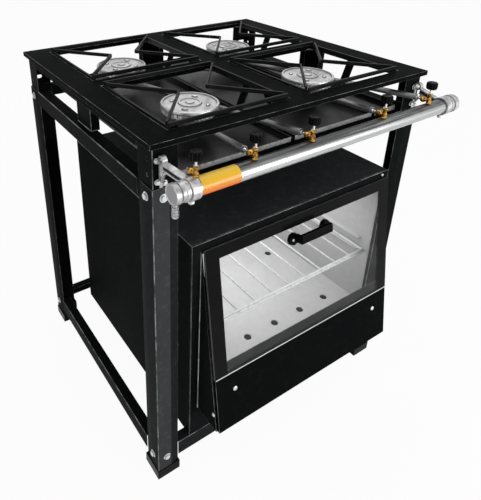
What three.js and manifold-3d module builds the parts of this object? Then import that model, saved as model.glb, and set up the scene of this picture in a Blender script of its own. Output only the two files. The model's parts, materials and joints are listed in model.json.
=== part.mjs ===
// Four-burner floor-standing gas range with an under-oven, in folded black sheet steel.
// Millimetres, +Z up, X to the right seen from the front, the front faces -Y.
// It is drawn round the middle of its hob plate, and the group at the end moves it
// so that the origin lies on the floor below the middle of the whole object.
import * as THREE from 'three';
import { mergeVertices } from 'three/addons/utils/BufferGeometryUtils.js';
import Module from 'manifold-3d';

const wasm = await Module();
wasm.setup();

// ---------------------------------------------------------------- driving sizes
const SEAT = 0.3;              // assembly gap between pieces that rest on each other

// hob plate
const TOP_WIDTH = 720;
const TOP_DEPTH = 640;
const TOP_HEIGHT = 848;        // floor to the plate's upper face
const TOP_SHEET = 2.5;
const TOP_LIP = 10;            // down-turned outer edge
const OPENING_LIP = 12;        // down-turned edge round each opening
const BORDER_SIDE = 57;        // plate beside the openings
const BORDER_FRONT = 37;       // plate in front of and behind the openings
const DIVIDER_ACROSS = 50;     // plate between left and right openings
const DIVIDER_ALONG = 41;      // plate between front and back openings
const REST_TAB = 20;           // corner tab under each grate
const OVERHANG = 7;            // plate edge beyond the legs

// folded frame
const FRAME_SHEET = 2;
const POST_FLANGE = 50;
const POST_HOLE = 3.5;         // radius
const POST_HOLE_INSET = 17;    // from the post's corner
const POST_HOLE_RISES = [22, 52];
const SLOT_RADIUS = 4.5;       // slot in the back posts
const SLOT_HALF = 7;           // from its middle to its end radius's centre
const RAIL_DROP = 89;          // hob plate's face down to the lower rails
const RAIL_FACE = 36;
const RAIL_FLANGE = 28;
const MID_POST_WIDTH = 70;
const MID_POST_DEPTH = 20;
const MID_POST_SET = 14;       // side middle posts behind their rails' faces
const STRIP_DROP = 27;         // stiffening strips' lower edges below the plate's face
const LEG_FLAT = 34;           // flat part of each leg flange
const LEG_FOLD = 19;           // width of the lip beyond it
const LEG_SET = 3;             // how far the lip's end stands behind the flat part
const FOOT_HEIGHT = 25;
const FOOT_SOLE = 3;
const FOOT_WALL = 2;
const FOOT_ARM_WIDTH = 16;
const BASE_RAIL_TOP = 85;
const BASE_RAIL_FACE = 40;
const BASE_RAIL_FLANGE = 24;
const BOLT_RADIUS = 6;
const BOLT_RISE = 4;
const BOLT_INSET = 22;         // bolt centre from the leg's corner
const BOLT_DROP = 20;          // below the leg's upper end
const BOLT_FLOOR = 62;         // lower bolts, above the floor

// oven box
const OVEN_GAP_LEFT = 30;      // from the left legs' lips
const OVEN_GAP_RIGHT = 7;      // from the right legs' lips
const OVEN_INSET = 73;         // oven's back ahead of the legs' back faces
const OVEN_TOP = 612;
const OVEN_SHEET = 2;
const BOTTOM_RISE = 14;        // oven's bottom sheet above its shell's lower edge
const BOTTOM_SHEET = 1.5;
const FACE_SHEET = 3;          // front frame
const STILE_LEFT = 23;         // front frame beside the mouth
const STILE_RIGHT = 16;
const HEADER = 25;             // front frame above the mouth
const OVEN_FLOOR = 215;        // upper face of the oven floor
const LINER_SHEET = 1.5;
const LINER_BACK_GAP = 12;
const FLOOR_SHEET = 3;
const FLOOR_HOLE = 9.5;        // radius
const FLOOR_HOLE_PITCH = 88;
const FLOOR_HOLE_FIRST = 70;   // first hole from the right wall
const FLOOR_ROWS = [           // rows of holes, behind the front frame, counted from the right
  { behind: 60, holes: [0, 1, 2, 3, 4] },
  { behind: 285, holes: [0, 4] },
];
const CHEEK_SHEET = 2.5;

// oven door
const DOOR_DROP = 17;          // door's upper edge below the oven's top
const DOOR_BOTTOM = 165;
const DOOR_TOP_REACH = 7;      // front face ahead of the front frame, at the top
const DOOR_BOTTOM_REACH = 78;  // and at the bottom
const DOOR_CLEAR = 1.2;        // between door and cheeks, and door and frame
const DOOR_SKIN = 1.5;
const GLASS = 4;
const APRON = 137;             // steel strip below the glass
const WINDOW_BORDER = 28;
const RETURN_BOTTOM = 24;      // depth of the door's folded sides behind the skin, none at the top
const HINGE_RISE = 44;         // hinge axis above the door's lower edge
const PIN_RADIUS = 3.5;
const PIN_CLEAR = 0.5;
const PIN_LENGTH = 8;
const PIN_BACK = 12;           // hinge axis behind the door's front face

// door handle
const HANDLE_SPAN = 94;
const HANDLE_DROP = 49.5;       // below the door's upper edge
const HANDLE_FOOT = 13;        // radius
const HANDLE_STAND = 22;
const BAR_WIDTH = 20;
const BAR_THICK = 8;
const BAR_INSET = 2;           // bar's ends inside the middles of its feet
const BAR_HIGHER = 6;          // bar's middle above the feet's

// rack, runners and oven burner
const RACK_HEIGHT = 163;       // frame wires above the oven floor
const RACK_WIRE = 3.5;
const RACK_FINE_WIRE = 2.2;
const RACK_FINE_COUNT = 9;
const RACK_SIDE_CLEAR = 3;
const RACK_FRONT_CLEAR = 8;    // behind the front frame
const RACK_BACK_CLEAR = 48.5;  // ahead of the liner's back wall
const RUNNER_REACH = 14;
const RUNNER_SHEET = 2;
const RUNNER_HEIGHT = 31;
const RUNNER_START = 27;       // behind the front frame
const TUBE_BURNER_RADIUS = 14;
const TUBE_BURNER_DROP = 52;   // below the oven floor
const TUBE_BURNER_MARGIN = 30; // from the front frame and the back wall
const HANGER_WIDTH = 20;

// gas manifold
const PIPE_RADIUS = 16;
const PIPE_REACH = 67;         // axis ahead of the legs
const PIPE_OVER_TRAY = 1.5;
const PIPE_INSET_LEFT = 12;    // pipe's left end inside the left legs
const PIPE_OVERHANG = 24;      // pipe's right end beyond the right legs
const CAP_LENGTH = 27;
const CAP_WALL = 2.5;
const COLLAR_LENGTH = 12;
const INLET_REACH = 17;        // inlet fitting beyond the pipe's left end
const BARB_INSET = 8;
const BARB_LENGTH = 28;
const BARB_RADIUS = 5.5;
const RING_WIDTH = 17;
const RING_WALL = 3.5;
const RING_SHIFT_LEFT = 16;    // clamp rings inward of their brackets
const RING_SHIFT_RIGHT = -4;
const OVEN_TAP_SHIFT = 8;      // oven's valve inward of the left ring's middle
const BRACKET_INSET = 17;      // brackets inside the legs' outer faces
const BRACKET_FOOT = 12;       // bracket plate below its lower bolt
const BRACKET_HEAD = 14;       // and above its upper bolt
const BRACKET_BOLT_INSET = 7;  // bolts inward of the plate's middle
const BRACKET_WIDTH = 24;
const BRACKET_SHEET = 3;
const ARM_WIDTH = 11;
const ARM_DEPTH = 12;
const ARM_LANDING = 8;         // arm's upper side above the pipe's axis, where it meets the ring
const WEB_SHEET = 5;

// valves and knobs: the oven's stands over the left clamp ring, the others beside the hob's openings
const TAPS_LEFT = [-28, 106];  // from the middle of the left openings: front burner, back burner
const TAPS_RIGHT = [-24, 121]; // from the middle of the right openings
const VALVE_RADIUS = 5.5;
const VALVE_HEIGHT = 22;
const VALVE_SHOULDER = 6.8;
const INJECTOR_RADIUS = 4;
const INJECTOR_LENGTH = 26;
const INJECTOR_TIP = 6;        // tapered end
const INJECTOR_RISE = 6;       // above the valve's base
const STEM_RADIUS = 2.6;
const STEM_SHOWING = 11;
const KNOB_RADIUS = 11.2;
const KNOB_HEIGHT = 14.5;
const KNOB_BORE_DEPTH = 9;
const KNOB_FLUTES = 12;
const KNOB_FLUTE_DEPTH = 0.9;

// burners
const BURNER_DROP = 19;        // burner cap's top below the hob plate's face
const BURNER_SHIFT = 7;        // burners to the left of their openings' middles
const BURNER_CAP = 9;
const CAP_CHAMFER = 3;
const CAP_RIM = 6;             // ring inside the cap's edge
const CAP_TROUGH = 36;         // outer ring and the shallow trough inside it
const CAP_FIELD = 46;          // edge to the level middle
const CAP_STEP = 2;
const OVAL_RADIUS = 6;
const OVAL_REACH = 38;         // from the cap's middle
const BURNER_RADIUS = 60;
const CAP_SPIGOT = 30;
const BOWL_RADIUS = 52;
const BOWL_FOOT = 26;
const BOWL_HEIGHT = 40;
const RECESS_DEPTH = 6;
const STRAP_WIDTH = 22;
const STRAP_SHEET = 2.5;
const STRAP_SPLAY = 22;
const TUBE_RADIUS = 6.5;
const TUBE_MOUTH_RADIUS = 7.2;
const TUBE_MOUTH_LENGTH = 22;
const TUBE_GAP = 3;            // mouth behind the injector's tip
const TUBE_RISE = 10;          // tube's inner end above the bowl's foot

// grates
const GRATE_CLEAR = 3;         // all round, in its opening
const GRATE_BAR = 4;
const GRATE_HEIGHT = 8;
const GRATE_RISE = 10;         // top above the hob plate
const SIDE_BAR_HEIGHT = 13;
const BAR_LAP = 1;             // upper bars sunk into the side bars where they cross
const FINGER_GAP = 66;         // between the two finger points
const FINGER_INSET = 8;        // finger's outer end from the grate's front and back bars

// drip trays
const TRAY_SPLITS = [-19, 223];
const TRAY_SPLIT_GAP = 10;
const TRAY_END_CLEAR = 2;
const TRAY_SHEET = 1.5;
const TRAY_LIP = 11;
const TRAY_FRONT = 17;         // behind the legs' front faces
const TRAY_BACK = 22;          // ahead of the legs' back faces

// ---------------------------------------------------------------- derived places
const halfW = TOP_WIDTH / 2;
const halfD = TOP_DEPTH / 2;
const legX = halfW - OVERHANG;
const legY = halfD - OVERHANG;
const postX = legX - FRAME_SHEET - SEAT;
const postY = legY - FRAME_SHEET - SEAT;
const legLip = LEG_FLAT + LEG_FOLD;
const ovenLeft = legLip - legX + OVEN_GAP_LEFT;
const ovenRight = legX - legLip - OVEN_GAP_RIGHT;
const ovenBack = legY - OVEN_INSET;
const mouthLeft = ovenLeft + STILE_LEFT;
const mouthRight = ovenRight - STILE_RIGHT;
const mouthTop = OVEN_TOP - HEADER;
const doorTop = OVEN_TOP - DOOR_DROP;
const topUnder = TOP_HEIGHT - TOP_SHEET;
const openW = halfW - BORDER_SIDE - DIVIDER_ACROSS / 2;
const openD = halfD - BORDER_FRONT - DIVIDER_ALONG / 2;
const openX = (DIVIDER_ACROSS + openW) / 2;
const openY = (DIVIDER_ALONG + openD) / 2;
const bracketX = legX - BRACKET_INSET;
const ringLeft = RING_SHIFT_LEFT - bracketX;
const ringRight = bracketX - RING_SHIFT_RIGHT;
const pipeLeft = PIPE_INSET_LEFT - legX;
const pipeRight = legX + PIPE_OVERHANG;
const inletEnd = pipeLeft - INLET_REACH;
const tapX = [
  ringLeft + OVEN_TAP_SHIFT,
  ...TAPS_LEFT.map((x) => x - openX),
  ...TAPS_RIGHT.map((x) => x + openX),
];
const railTop = TOP_HEIGHT - RAIL_DROP;
const railFoot = railTop - RAIL_FACE;

const tabTop = TOP_HEIGHT + GRATE_RISE - GRATE_HEIGHT + BAR_LAP - SIDE_BAR_HEIGHT - SEAT;
const capTop = TOP_HEIGHT - BURNER_DROP;
const bowlTop = capTop - BURNER_CAP;
const bowlFoot = bowlTop - BOWL_HEIGHT;
const strapTop = bowlFoot - SEAT;

const trayFoot = railTop + SEAT;
const pipeZ = trayFoot + TRAY_LIP + PIPE_OVER_TRAY + PIPE_RADIUS;
const pipeY = -legY - PIPE_REACH;
const capRadius = PIPE_RADIUS + CAP_WALL;
const ringRadius = PIPE_RADIUS + SEAT + RING_WALL;
const valveFoot = pipeZ + PIPE_RADIUS + SEAT;
const valveTop = valveFoot + VALVE_HEIGHT;
const injectorZ = valveFoot + INJECTOR_RISE;
const knobFoot = valveTop + STEM_SHOWING;
const mouthY = pipeY + INJECTOR_LENGTH + TUBE_GAP;

const doorLeft = mouthLeft - SEAT;                       // cheeks' inner faces
const doorRight = ovenRight - CHEEK_SHEET;
const doorMid = (doorLeft + doorRight) / 2;
const doorHalf = (doorRight - doorLeft) / 2 - DOOR_CLEAR;
const doorRise = doorTop - DOOR_BOTTOM;
const doorSlope = Math.hypot(doorRise, DOOR_BOTTOM_REACH - DOOR_TOP_REACH);
const doorLean = Math.atan2(DOOR_BOTTOM_REACH - DOOR_TOP_REACH, doorRise);
const glassSlope = doorSlope - APRON;
const linerBack = ovenBack - LINER_BACK_GAP;
const linerTop = mouthTop + LINER_SHEET + SEAT;
const floorLeft = mouthLeft + SEAT;
const floorRight = mouthRight - SEAT;
const faceBack = -legY + FACE_SHEET;                      // behind the oven's front frame

// ---------------------------------------------------------------- solids from three.js geometry
const toSolid = (geometry) => {
  geometry.deleteAttribute('normal');
  geometry.deleteAttribute('uv');
  const merged = mergeVertices(geometry, 1e-4);
  const index = merged.index.array;
  const faces = [];
  for (let i = 0; i < index.length; i += 3) {
    const [a, b, c] = index.slice(i, i + 3);
    if (a !== b && b !== c && c !== a) faces.push(a, b, c);
  }
  return new wasm.Manifold(new wasm.Mesh({
    numProp: 3,
    vertProperties: new Float32Array(merged.attributes.position.array),
    triVerts: new Uint32Array(faces),
  }));
};
const join = (...solids) => solids.reduce((a, b) => a.add(b));
const cut = (solid, ...tools) => tools.reduce((a, b) => a.subtract(b), solid);
const mirrorX = (solid) => solid.mirror([1, 0, 0]);
const mirrorY = (solid) => solid.mirror([0, 1, 0]);
const ends = [-1, 1];

const box = (x0, x1, y0, y1, z0, z1) =>
  toSolid(new THREE.BoxGeometry(x1 - x0, y1 - y0, z1 - z0)
    .translate((x0 + x1) / 2, (y0 + y1) / 2, (z0 + z1) / 2));

const extruded = (points, depth) =>
  new THREE.ExtrudeGeometry(new THREE.Shape(points.map(([a, b]) => new THREE.Vector2(a, b))),
    { depth, bevelEnabled: false });

// a closed outline in plan, raised from z0 to z1
const prism = (points, z0, z1) => toSolid(extruded(points, z1 - z0).translate(0, 0, z0));

// a closed outline of [y, z] points, from x0 to x1
const alongX = (points, x0, x1) => {
  const basis = new THREE.Matrix4().makeBasis(
    new THREE.Vector3(0, 1, 0), new THREE.Vector3(0, 0, 1), new THREE.Vector3(1, 0, 0));
  return toSolid(extruded(points, x1 - x0).applyMatrix4(basis).translate(x0, 0, 0));
};

// a closed outline of [x, z] points, from y0 to y1
const alongY = (points, y0, y1) =>
  toSolid(extruded(points, y1 - y0).rotateX(Math.PI / 2).translate(0, y1, 0));

const rod = (from, to, radius, sides = 16, endRadius = radius) => {
  const a = new THREE.Vector3(...from);
  const b = new THREE.Vector3(...to);
  const turn = new THREE.Quaternion().setFromUnitVectors(
    new THREE.Vector3(0, 1, 0), b.clone().sub(a).normalize());
  const middle = a.clone().add(b).multiplyScalar(0.5);
  return toSolid(new THREE.CylinderGeometry(endRadius, radius, a.distanceTo(b), sides)
    .applyQuaternion(turn).translate(middle.x, middle.y, middle.z));
};

// a profile of [radius, height] points from the axis and back to it, turned about the Z axis
const turned = (profile, sides) =>
  toSolid(new THREE.LatheGeometry(profile.map(([r, z]) => new THREE.Vector2(r, z)), sides)
    .rotateX(Math.PI / 2));

// a flat bar on edge between two [x, y] points
const flatBar = ([ax, ay], [bx, by], width, z0, z1) => {
  const length = Math.hypot(bx - ax, by - ay);
  const nx = -(by - ay) / length * width / 2;
  const ny = (bx - ax) / length * width / 2;
  return prism([[ax - nx, ay - ny], [bx - nx, by - ny], [bx + nx, by + ny], [ax + nx, ay + ny]], z0, z1);
};

// an open path moved sideways to its left, with mitred corners
const moved = (path, distance) => path.map((point, i) => {
  const normals = [];
  for (const [p, q] of [[path[i - 1], point], [point, path[i + 1]]]) {
    if (!p || !q) continue;
    const length = Math.hypot(q[0] - p[0], q[1] - p[1]);
    normals.push([-(q[1] - p[1]) / length, (q[0] - p[0]) / length]);
  }
  const [n, m = n] = normals;
  const scale = distance / (1 + n[0] * m[0] + n[1] * m[1]);
  return [point[0] + (n[0] + m[0]) * scale, point[1] + (n[1] + m[1]) * scale];
});

// the outline of folded sheet: a path, and the same path moved by the sheet's thickness
const folded = (path, near, far) => [...moved(path, near), ...moved(path, far).reverse()];

// ---------------------------------------------------------------- materials
const finish = (color, roughness, metalness) => () =>
  new THREE.MeshStandardMaterial({ color, roughness, metalness });
const paint = finish(0x1b1c1e, 0.45, 0.2);
const galvanised = finish(0xb9bbbc, 0.4, 0.8);
const aluminium = finish(0xc4c5c7, 0.35, 0.9);
const castAluminium = finish(0xcfd0d1, 0.5, 0.7);
const zincPlated = finish(0xb4b5b6, 0.45, 0.8);
const blackIron = finish(0x1d1d1e, 0.55, 0.3);
const brass = finish(0xb98d3a, 0.3, 1);
const plastic = finish(0x141415, 0.45, 0);
const wire = finish(0xa9abad, 0.3, 1);
const glass = () =>
  new THREE.MeshStandardMaterial({ color: 0xb9c2c2, roughness: 0.05, transparent: true, opacity: 0.35 });

const range = new THREE.Group();
const place = (name, solid, material, x = 0, y = 0, z = 0) => {
  const { vertProperties, triVerts } = solid.getMesh();
  const geometry = new THREE.BufferGeometry();
  geometry.setAttribute('position', new THREE.BufferAttribute(vertProperties, 3));
  geometry.setIndex(new THREE.BufferAttribute(triVerts, 1));
  geometry.computeVertexNormals();
  const mesh = new THREE.Mesh(geometry, material());
  mesh.name = name;
  mesh.position.set(x, y, z);
  range.add(mesh);
};

const corners = [
  { name: 'front_left', sx: -1, sy: -1 },
  { name: 'front_right', sx: 1, sy: -1 },
  { name: 'back_left', sx: -1, sy: 1 },
  { name: 'back_right', sx: 1, sy: 1 },
];
// a solid drawn for the front-left corner, turned over for the others
const atCorner = (solid, { sx, sy }) => {
  const across = sx > 0 ? mirrorX(solid) : solid;
  return sy > 0 ? mirrorY(across) : across;
};

// ---------------------------------------------------------------- hob plate
function hobPlate() {
  let plate = box(-halfW, halfW, -halfD, halfD, TOP_HEIGHT - TOP_LIP, TOP_HEIGHT);
  plate = cut(plate, box(-halfW + TOP_SHEET, halfW - TOP_SHEET, -halfD + TOP_SHEET, halfD - TOP_SHEET,
    TOP_HEIGHT - TOP_LIP - 1, topUnder));
  const grown = TOP_SHEET;
  const deep = TOP_HEIGHT - OPENING_LIP;
  for (const { sx, sy } of corners) {
    const x = sx * openX;
    const y = sy * openY;
    plate = join(plate, box(x - openW / 2 - grown, x + openW / 2 + grown,
      y - openD / 2 - grown, y + openD / 2 + grown, deep, topUnder + TOP_SHEET / 2));
    plate = cut(plate, box(x - openW / 2, x + openW / 2, y - openD / 2, y + openD / 2,
      deep - 1, TOP_HEIGHT + 1));
    plate = join(plate, burnerStrap(x, y), ...restTabs(x, y));
  }
  return join(plate, ...ends.map((side) => stiffener(side)));
}

// upright strip below the plate's left or right edge, between the posts
function stiffener(side) {
  const reach = postY - POST_FLANGE - SEAT - 1;
  const [x0, x1] = [side * legX, side * (legX - TOP_SHEET)].sort((a, b) => a - b);
  return box(x0, x1, -reach, reach, TOP_HEIGHT - STRIP_DROP, topUnder + TOP_SHEET / 2);
}

// bright corner plates that carry a grate
function restTabs(x, y) {
  const reach = REST_TAB + TOP_SHEET;
  return corners.map(({ sx, sy }) => {
    const cx = x + sx * (openW / 2 + TOP_SHEET);
    const cy = y + sy * (openD / 2 + TOP_SHEET);
    return prism([[cx, cy], [cx - sx * reach, cy], [cx, cy - sy * reach]], tabTop - TOP_SHEET, tabTop);
  });
}

// strap hung from the opening's left and right lips, on which the burner sits
function burnerStrap(x, y) {
  const hang = openW / 2 + TOP_SHEET;
  const foot = hang - STRAP_SPLAY;
  const lip = TOP_HEIGHT - OPENING_LIP;
  const path = [[-hang, lip + TOP_SHEET], [-hang, lip], [-foot, strapTop - STRAP_SHEET],
    [foot, strapTop - STRAP_SHEET], [hang, lip], [hang, lip + TOP_SHEET]];
  return alongY(folded(path, 0, STRAP_SHEET).map(([a, b]) => [a + x, b]),
    y - STRAP_WIDTH / 2, y + STRAP_WIDTH / 2);
}

// ---------------------------------------------------------------- posts, legs, feet and rails
// outline of an angle with its outer corner at the given place, both flanges inward
const angle = (x, y, size, near, far) =>
  folded([[x, y + size], [x, y], [x + size, y]], near, far);
const legPath = (grow) => {
  const set = LEG_SET * (1 + grow / LEG_FOLD);
  return [[set, legLip + grow], [0, LEG_FLAT], [0, 0], [LEG_FLAT, 0], [legLip + grow, set]]
    .map(([x, y]) => [x - legX, y - legY]);
};

// a corner post, with the slotted hole that only the back posts have
function cornerPost(back) {
  const inside = LEG_FLAT - 2 * FRAME_SHEET - SEAT;
  let post = join(
    prism(angle(-postX, -postY, inside, 0, FRAME_SHEET), railFoot, railTop + SEAT + 1),
    prism(angle(-postX, -postY, POST_FLANGE, 0, FRAME_SHEET), railTop + SEAT, topUnder - SEAT));
  for (const rise of POST_HOLE_RISES) {
    const z = railTop + rise;
    const a = -postY + POST_HOLE_INSET;
    post = cut(post, rod([-postX - 1, a, z], [-postX + FRAME_SHEET + 1, a, z], POST_HOLE, 12));
  }
  return back ? cut(post, postSlot()) : post;
}

function postSlot() {
  const x = -postX + POST_HOLE_INSET;
  const z = railTop + POST_HOLE_RISES[0];
  const y0 = -postY - 1;
  const y1 = -postY + FRAME_SHEET + 1;
  const through = (dx) => rod([x + dx, y0, z], [x + dx, y1, z], SLOT_RADIUS, 12);
  return join(through(-SLOT_HALF), through(SLOT_HALF),
    box(x - SLOT_HALF, x + SLOT_HALF, y0, y1, z - SLOT_RADIUS, z + SLOT_RADIUS));
}

function leg() {
  const bolt = (from, to) => rod(from, to, BOLT_RADIUS, 6);
  let solid = prism(folded(legPath(0), 0, FRAME_SHEET), FOOT_SOLE + SEAT, railTop);
  for (const z of [railTop - BOLT_DROP, BOLT_FLOOR]) {
    const x = -legX + BOLT_INSET;
    const y = -legY + BOLT_INSET;
    solid = join(solid, bolt([x, -legY + 1, z], [x, -legY - BOLT_RISE, z]),
      bolt([-legX + 1, y, z], [-legX - BOLT_RISE, y, z]));
  }
  return solid;
}

function foot() {
  const far = legLip + FOOT_WALL;
  const wide = FOOT_ARM_WIDTH;
  const turn = wide + 5;
  const outline = [[-FOOT_WALL, -FOOT_WALL], [far, -FOOT_WALL], [far, wide], [turn, wide],
    [wide, turn], [wide, far], [-FOOT_WALL, far]];
  return cut(prism(outline.map(([x, y]) => [x - legX, y - legY]), 0, FOOT_HEIGHT),
    prism(folded(legPath(SEAT), -SEAT, FRAME_SHEET + SEAT), FOOT_SOLE, FOOT_HEIGHT + 1));
}

// an angle rail's section: upright face at the outside, flange on top
const railSection = (outer, top, face, flange) =>
  folded([[outer, top - face], [outer, top], [outer + flange, top]], -FRAME_SHEET, 0);
const frontRail = (top, face, flange) => {
  const half = legX - legLip - SEAT;
  return alongX(railSection(-legY, top, face, flange), -half, half);
};
const leftRail = (top, face, flange) => {
  const half = legY - legLip - SEAT;
  return alongY(railSection(-legX, top, face, flange), -half, half);
};

// channel between a lower rail and the plate, drawn for the left side
function midPost(outer, middle) {
  const half = MID_POST_WIDTH / 2;
  const path = [[outer + MID_POST_DEPTH, middle + half], [outer, middle + half], [outer, middle - half],
    [outer + MID_POST_DEPTH, middle - half]];
  return prism(folded(path, 0, FRAME_SHEET), railTop - FRAME_SHEET / 2, topUnder - SEAT);
}

// ---------------------------------------------------------------- oven
// bent sheet round the oven: left, top and right walls, closed behind
function tunnel(x0, x1, z0, z1, y0, y1, sheet) {
  return cut(box(x0, x1, y0, y1, z0, z1),
    box(x0 + sheet, x1 - sheet, y0 - 1, y1 - sheet, z0 - 1, z1 - sheet));
}

function ovenShell() {
  return tunnel(ovenLeft, ovenRight, BASE_RAIL_TOP + SEAT, OVEN_TOP, faceBack, ovenBack, OVEN_SHEET);
}

// plain sheet that closes the oven below its burner
function ovenBottom() {
  const inside = OVEN_SHEET + SEAT;
  const foot = BASE_RAIL_TOP + SEAT + BOTTOM_RISE;
  return box(ovenLeft + inside, ovenRight - inside, faceBack + SEAT, ovenBack - inside,
    foot, foot + BOTTOM_SHEET);
}

function ovenLiner() {
  let liner = tunnel(mouthLeft - LINER_SHEET, mouthRight + LINER_SHEET, OVEN_FLOOR - FLOOR_SHEET,
    linerTop, faceBack + SEAT, linerBack, LINER_SHEET);
  for (const side of ends) liner = join(liner, runner(side));
  return liner;
}

// channel on the oven wall that carries the rack and keeps it from tipping
function runner(side) {
  const wall = side < 0 ? mouthLeft : -mouthRight;
  const foot = OVEN_FLOOR + RACK_HEIGHT - RACK_WIRE - SEAT;
  const path = [[wall + RUNNER_REACH, foot + RUNNER_HEIGHT], [wall, foot + RUNNER_HEIGHT], [wall, foot],
    [wall + RUNNER_REACH, foot]];
  const open = folded(path, -RUNNER_SHEET, 0).map(([x, z]) => [x - LINER_SHEET / 2, z]);
  const solid = alongY(open, faceBack + RUNNER_START, linerBack - LINER_SHEET / 2);
  return side < 0 ? solid : mirrorX(solid);
}

function ovenFloor() {
  let floor = box(floorLeft, floorRight, faceBack + SEAT, linerBack - LINER_SHEET - SEAT,
    OVEN_FLOOR - FLOOR_SHEET, OVEN_FLOOR);
  for (const { behind, holes } of FLOOR_ROWS) {
    for (const i of holes) {
      const x = mouthRight - FLOOR_HOLE_FIRST - i * FLOOR_HOLE_PITCH;
      floor = cut(floor, rod([x, faceBack + behind, OVEN_FLOOR - FLOOR_SHEET - 1],
        [x, faceBack + behind, OVEN_FLOOR + 1], FLOOR_HOLE, 14));
    }
  }
  return floor;
}

// plain tube burner hung under the oven floor
function tubeBurner() {
  const x = (mouthLeft + mouthRight) / 2;
  const z = OVEN_FLOOR - TUBE_BURNER_DROP;
  const y0 = faceBack + TUBE_BURNER_MARGIN;
  const y1 = linerBack - TUBE_BURNER_MARGIN;
  let burner = rod([x, y0, z], [x, y1, z], TUBE_BURNER_RADIUS, 20);
  for (const y of [y0 + HANGER_WIDTH, y1 - HANGER_WIDTH]) {
    burner = join(burner, box(x - FACE_SHEET / 2, x + FACE_SHEET / 2,
      y - HANGER_WIDTH / 2, y + HANGER_WIDTH / 2, z, OVEN_FLOOR - FLOOR_SHEET - SEAT));
  }
  return burner;
}

// front frame with the oven mouth, and the two cheeks that the door hangs between
function frontFrame() {
  const frame = cut(
    box(ovenLeft, ovenRight, -legY, faceBack - SEAT, BASE_RAIL_TOP + SEAT, OVEN_TOP),
    box(mouthLeft, mouthRight, -legY - 1, faceBack + 1, OVEN_FLOOR, mouthTop));
  const cheekReach = DOOR_BOTTOM_REACH - DOOR_TOP_REACH;
  const cheek = [[-legY + 1, doorTop], [-legY, doorTop], [-legY - cheekReach, DOOR_BOTTOM],
    [-legY + 1, DOOR_BOTTOM]];
  const pinAt = (from, to) => rod([from, hingeY, hingeZ], [to, hingeY, hingeZ], PIN_RADIUS, 16);
  return join(frame,
    alongX(cheek, doorLeft - CHEEK_SHEET, doorLeft), alongX(cheek, doorRight, doorRight + CHEEK_SHEET),
    pinAt(doorLeft - 1, doorLeft + PIN_LENGTH), pinAt(doorRight - PIN_LENGTH, doorRight + 1));
}

// wire rack in the frame wires' own height, with a second front wire above
function ovenRack() {
  const left = mouthLeft + RACK_SIDE_CLEAR + RACK_WIRE;
  const right = mouthRight - RACK_SIDE_CLEAR - RACK_WIRE;
  const front = faceBack + RACK_FRONT_CLEAR;
  const back = linerBack - LINER_SHEET - RACK_BACK_CLEAR;
  const z = OVEN_FLOOR + RACK_HEIGHT;
  const frameWire = (a, b) => rod(a, b, RACK_WIRE, 8);
  const knuckle = (x, y) => toSolid(new THREE.SphereGeometry(RACK_WIRE, 8, 4).translate(x, y, z));
  let rack = join(
    frameWire([left, front, z], [right, front, z]), frameWire([left, back, z], [right, back, z]),
    frameWire([left, front, z], [left, back, z]), frameWire([right, front, z], [right, back, z]),
    knuckle(left, front), knuckle(right, front), knuckle(left, back), knuckle(right, back));
  const fineZ = z + RACK_WIRE;
  for (let i = 1; i <= RACK_FINE_COUNT; i += 1) {
    const x = left + (right - left) * i / (RACK_FINE_COUNT + 1);
    rack = join(rack, rod([x, front - RACK_WIRE, fineZ], [x, back + RACK_WIRE, fineZ], RACK_FINE_WIRE, 6));
  }
  const upperZ = fineZ + RACK_WIRE;
  return join(rack,
    rod([left + RACK_WIRE, front, upperZ], [right - RACK_WIRE, front, upperZ], RACK_WIRE - 1, 8));
}

// ---------------------------------------------------------------- oven door
// The door is drawn upright in its own frame: x across, y = 0 at the glass's outer face with
// the room at -y, z = 0 at the upper edge. Leaning turns it about its upper edge.
const leaning = (solid) => solid
  .rotate([-doorLean * 180 / Math.PI, 0, 0])
  .translate([doorMid, -legY - DOOR_TOP_REACH, doorTop]);
const hingeDoor = [PIN_BACK, -doorSlope + HINGE_RISE];     // [y, z] in the door's own frame
const hingeY = -legY - DOOR_TOP_REACH + hingeDoor[0] * Math.cos(doorLean) + hingeDoor[1] * Math.sin(doorLean);
const hingeZ = doorTop - hingeDoor[0] * Math.sin(doorLean) + hingeDoor[1] * Math.cos(doorLean);

function doorPanel() {
  const back = GLASS + SEAT;
  const window = [-doorHalf + WINDOW_BORDER, doorHalf - WINDOW_BORDER, back - 1, back + DOOR_SKIN + 1,
    -glassSlope + WINDOW_BORDER, -WINDOW_BORDER];
  const side = [[back, 0], [back + DOOR_SKIN, 0], [back + DOOR_SKIN + RETURN_BOTTOM, -doorSlope],
    [back, -doorSlope]];
  const pinHole = rod([-doorHalf - 1, ...hingeDoor], [doorHalf + 1, ...hingeDoor],
    PIN_RADIUS + PIN_CLEAR, 16);
  return leaning(cut(join(
    cut(box(-doorHalf, doorHalf, back, back + DOOR_SKIN, -doorSlope, 0), box(...window)),
    box(-doorHalf, doorHalf, 0, back + DOOR_SKIN, -doorSlope, -glassSlope - SEAT),
    alongX(side, -doorHalf, -doorHalf + DOOR_SKIN), alongX(side, doorHalf - DOOR_SKIN, doorHalf),
    box(-doorHalf, doorHalf, back, back + DOOR_SKIN + RETURN_BOTTOM / 2, -doorSlope, -doorSlope + DOOR_SKIN),
  ), pinHole));
}

function doorGlass() {
  return leaning(box(-doorHalf, doorHalf, 0, GLASS, -glassSlope, 0));
}

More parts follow.
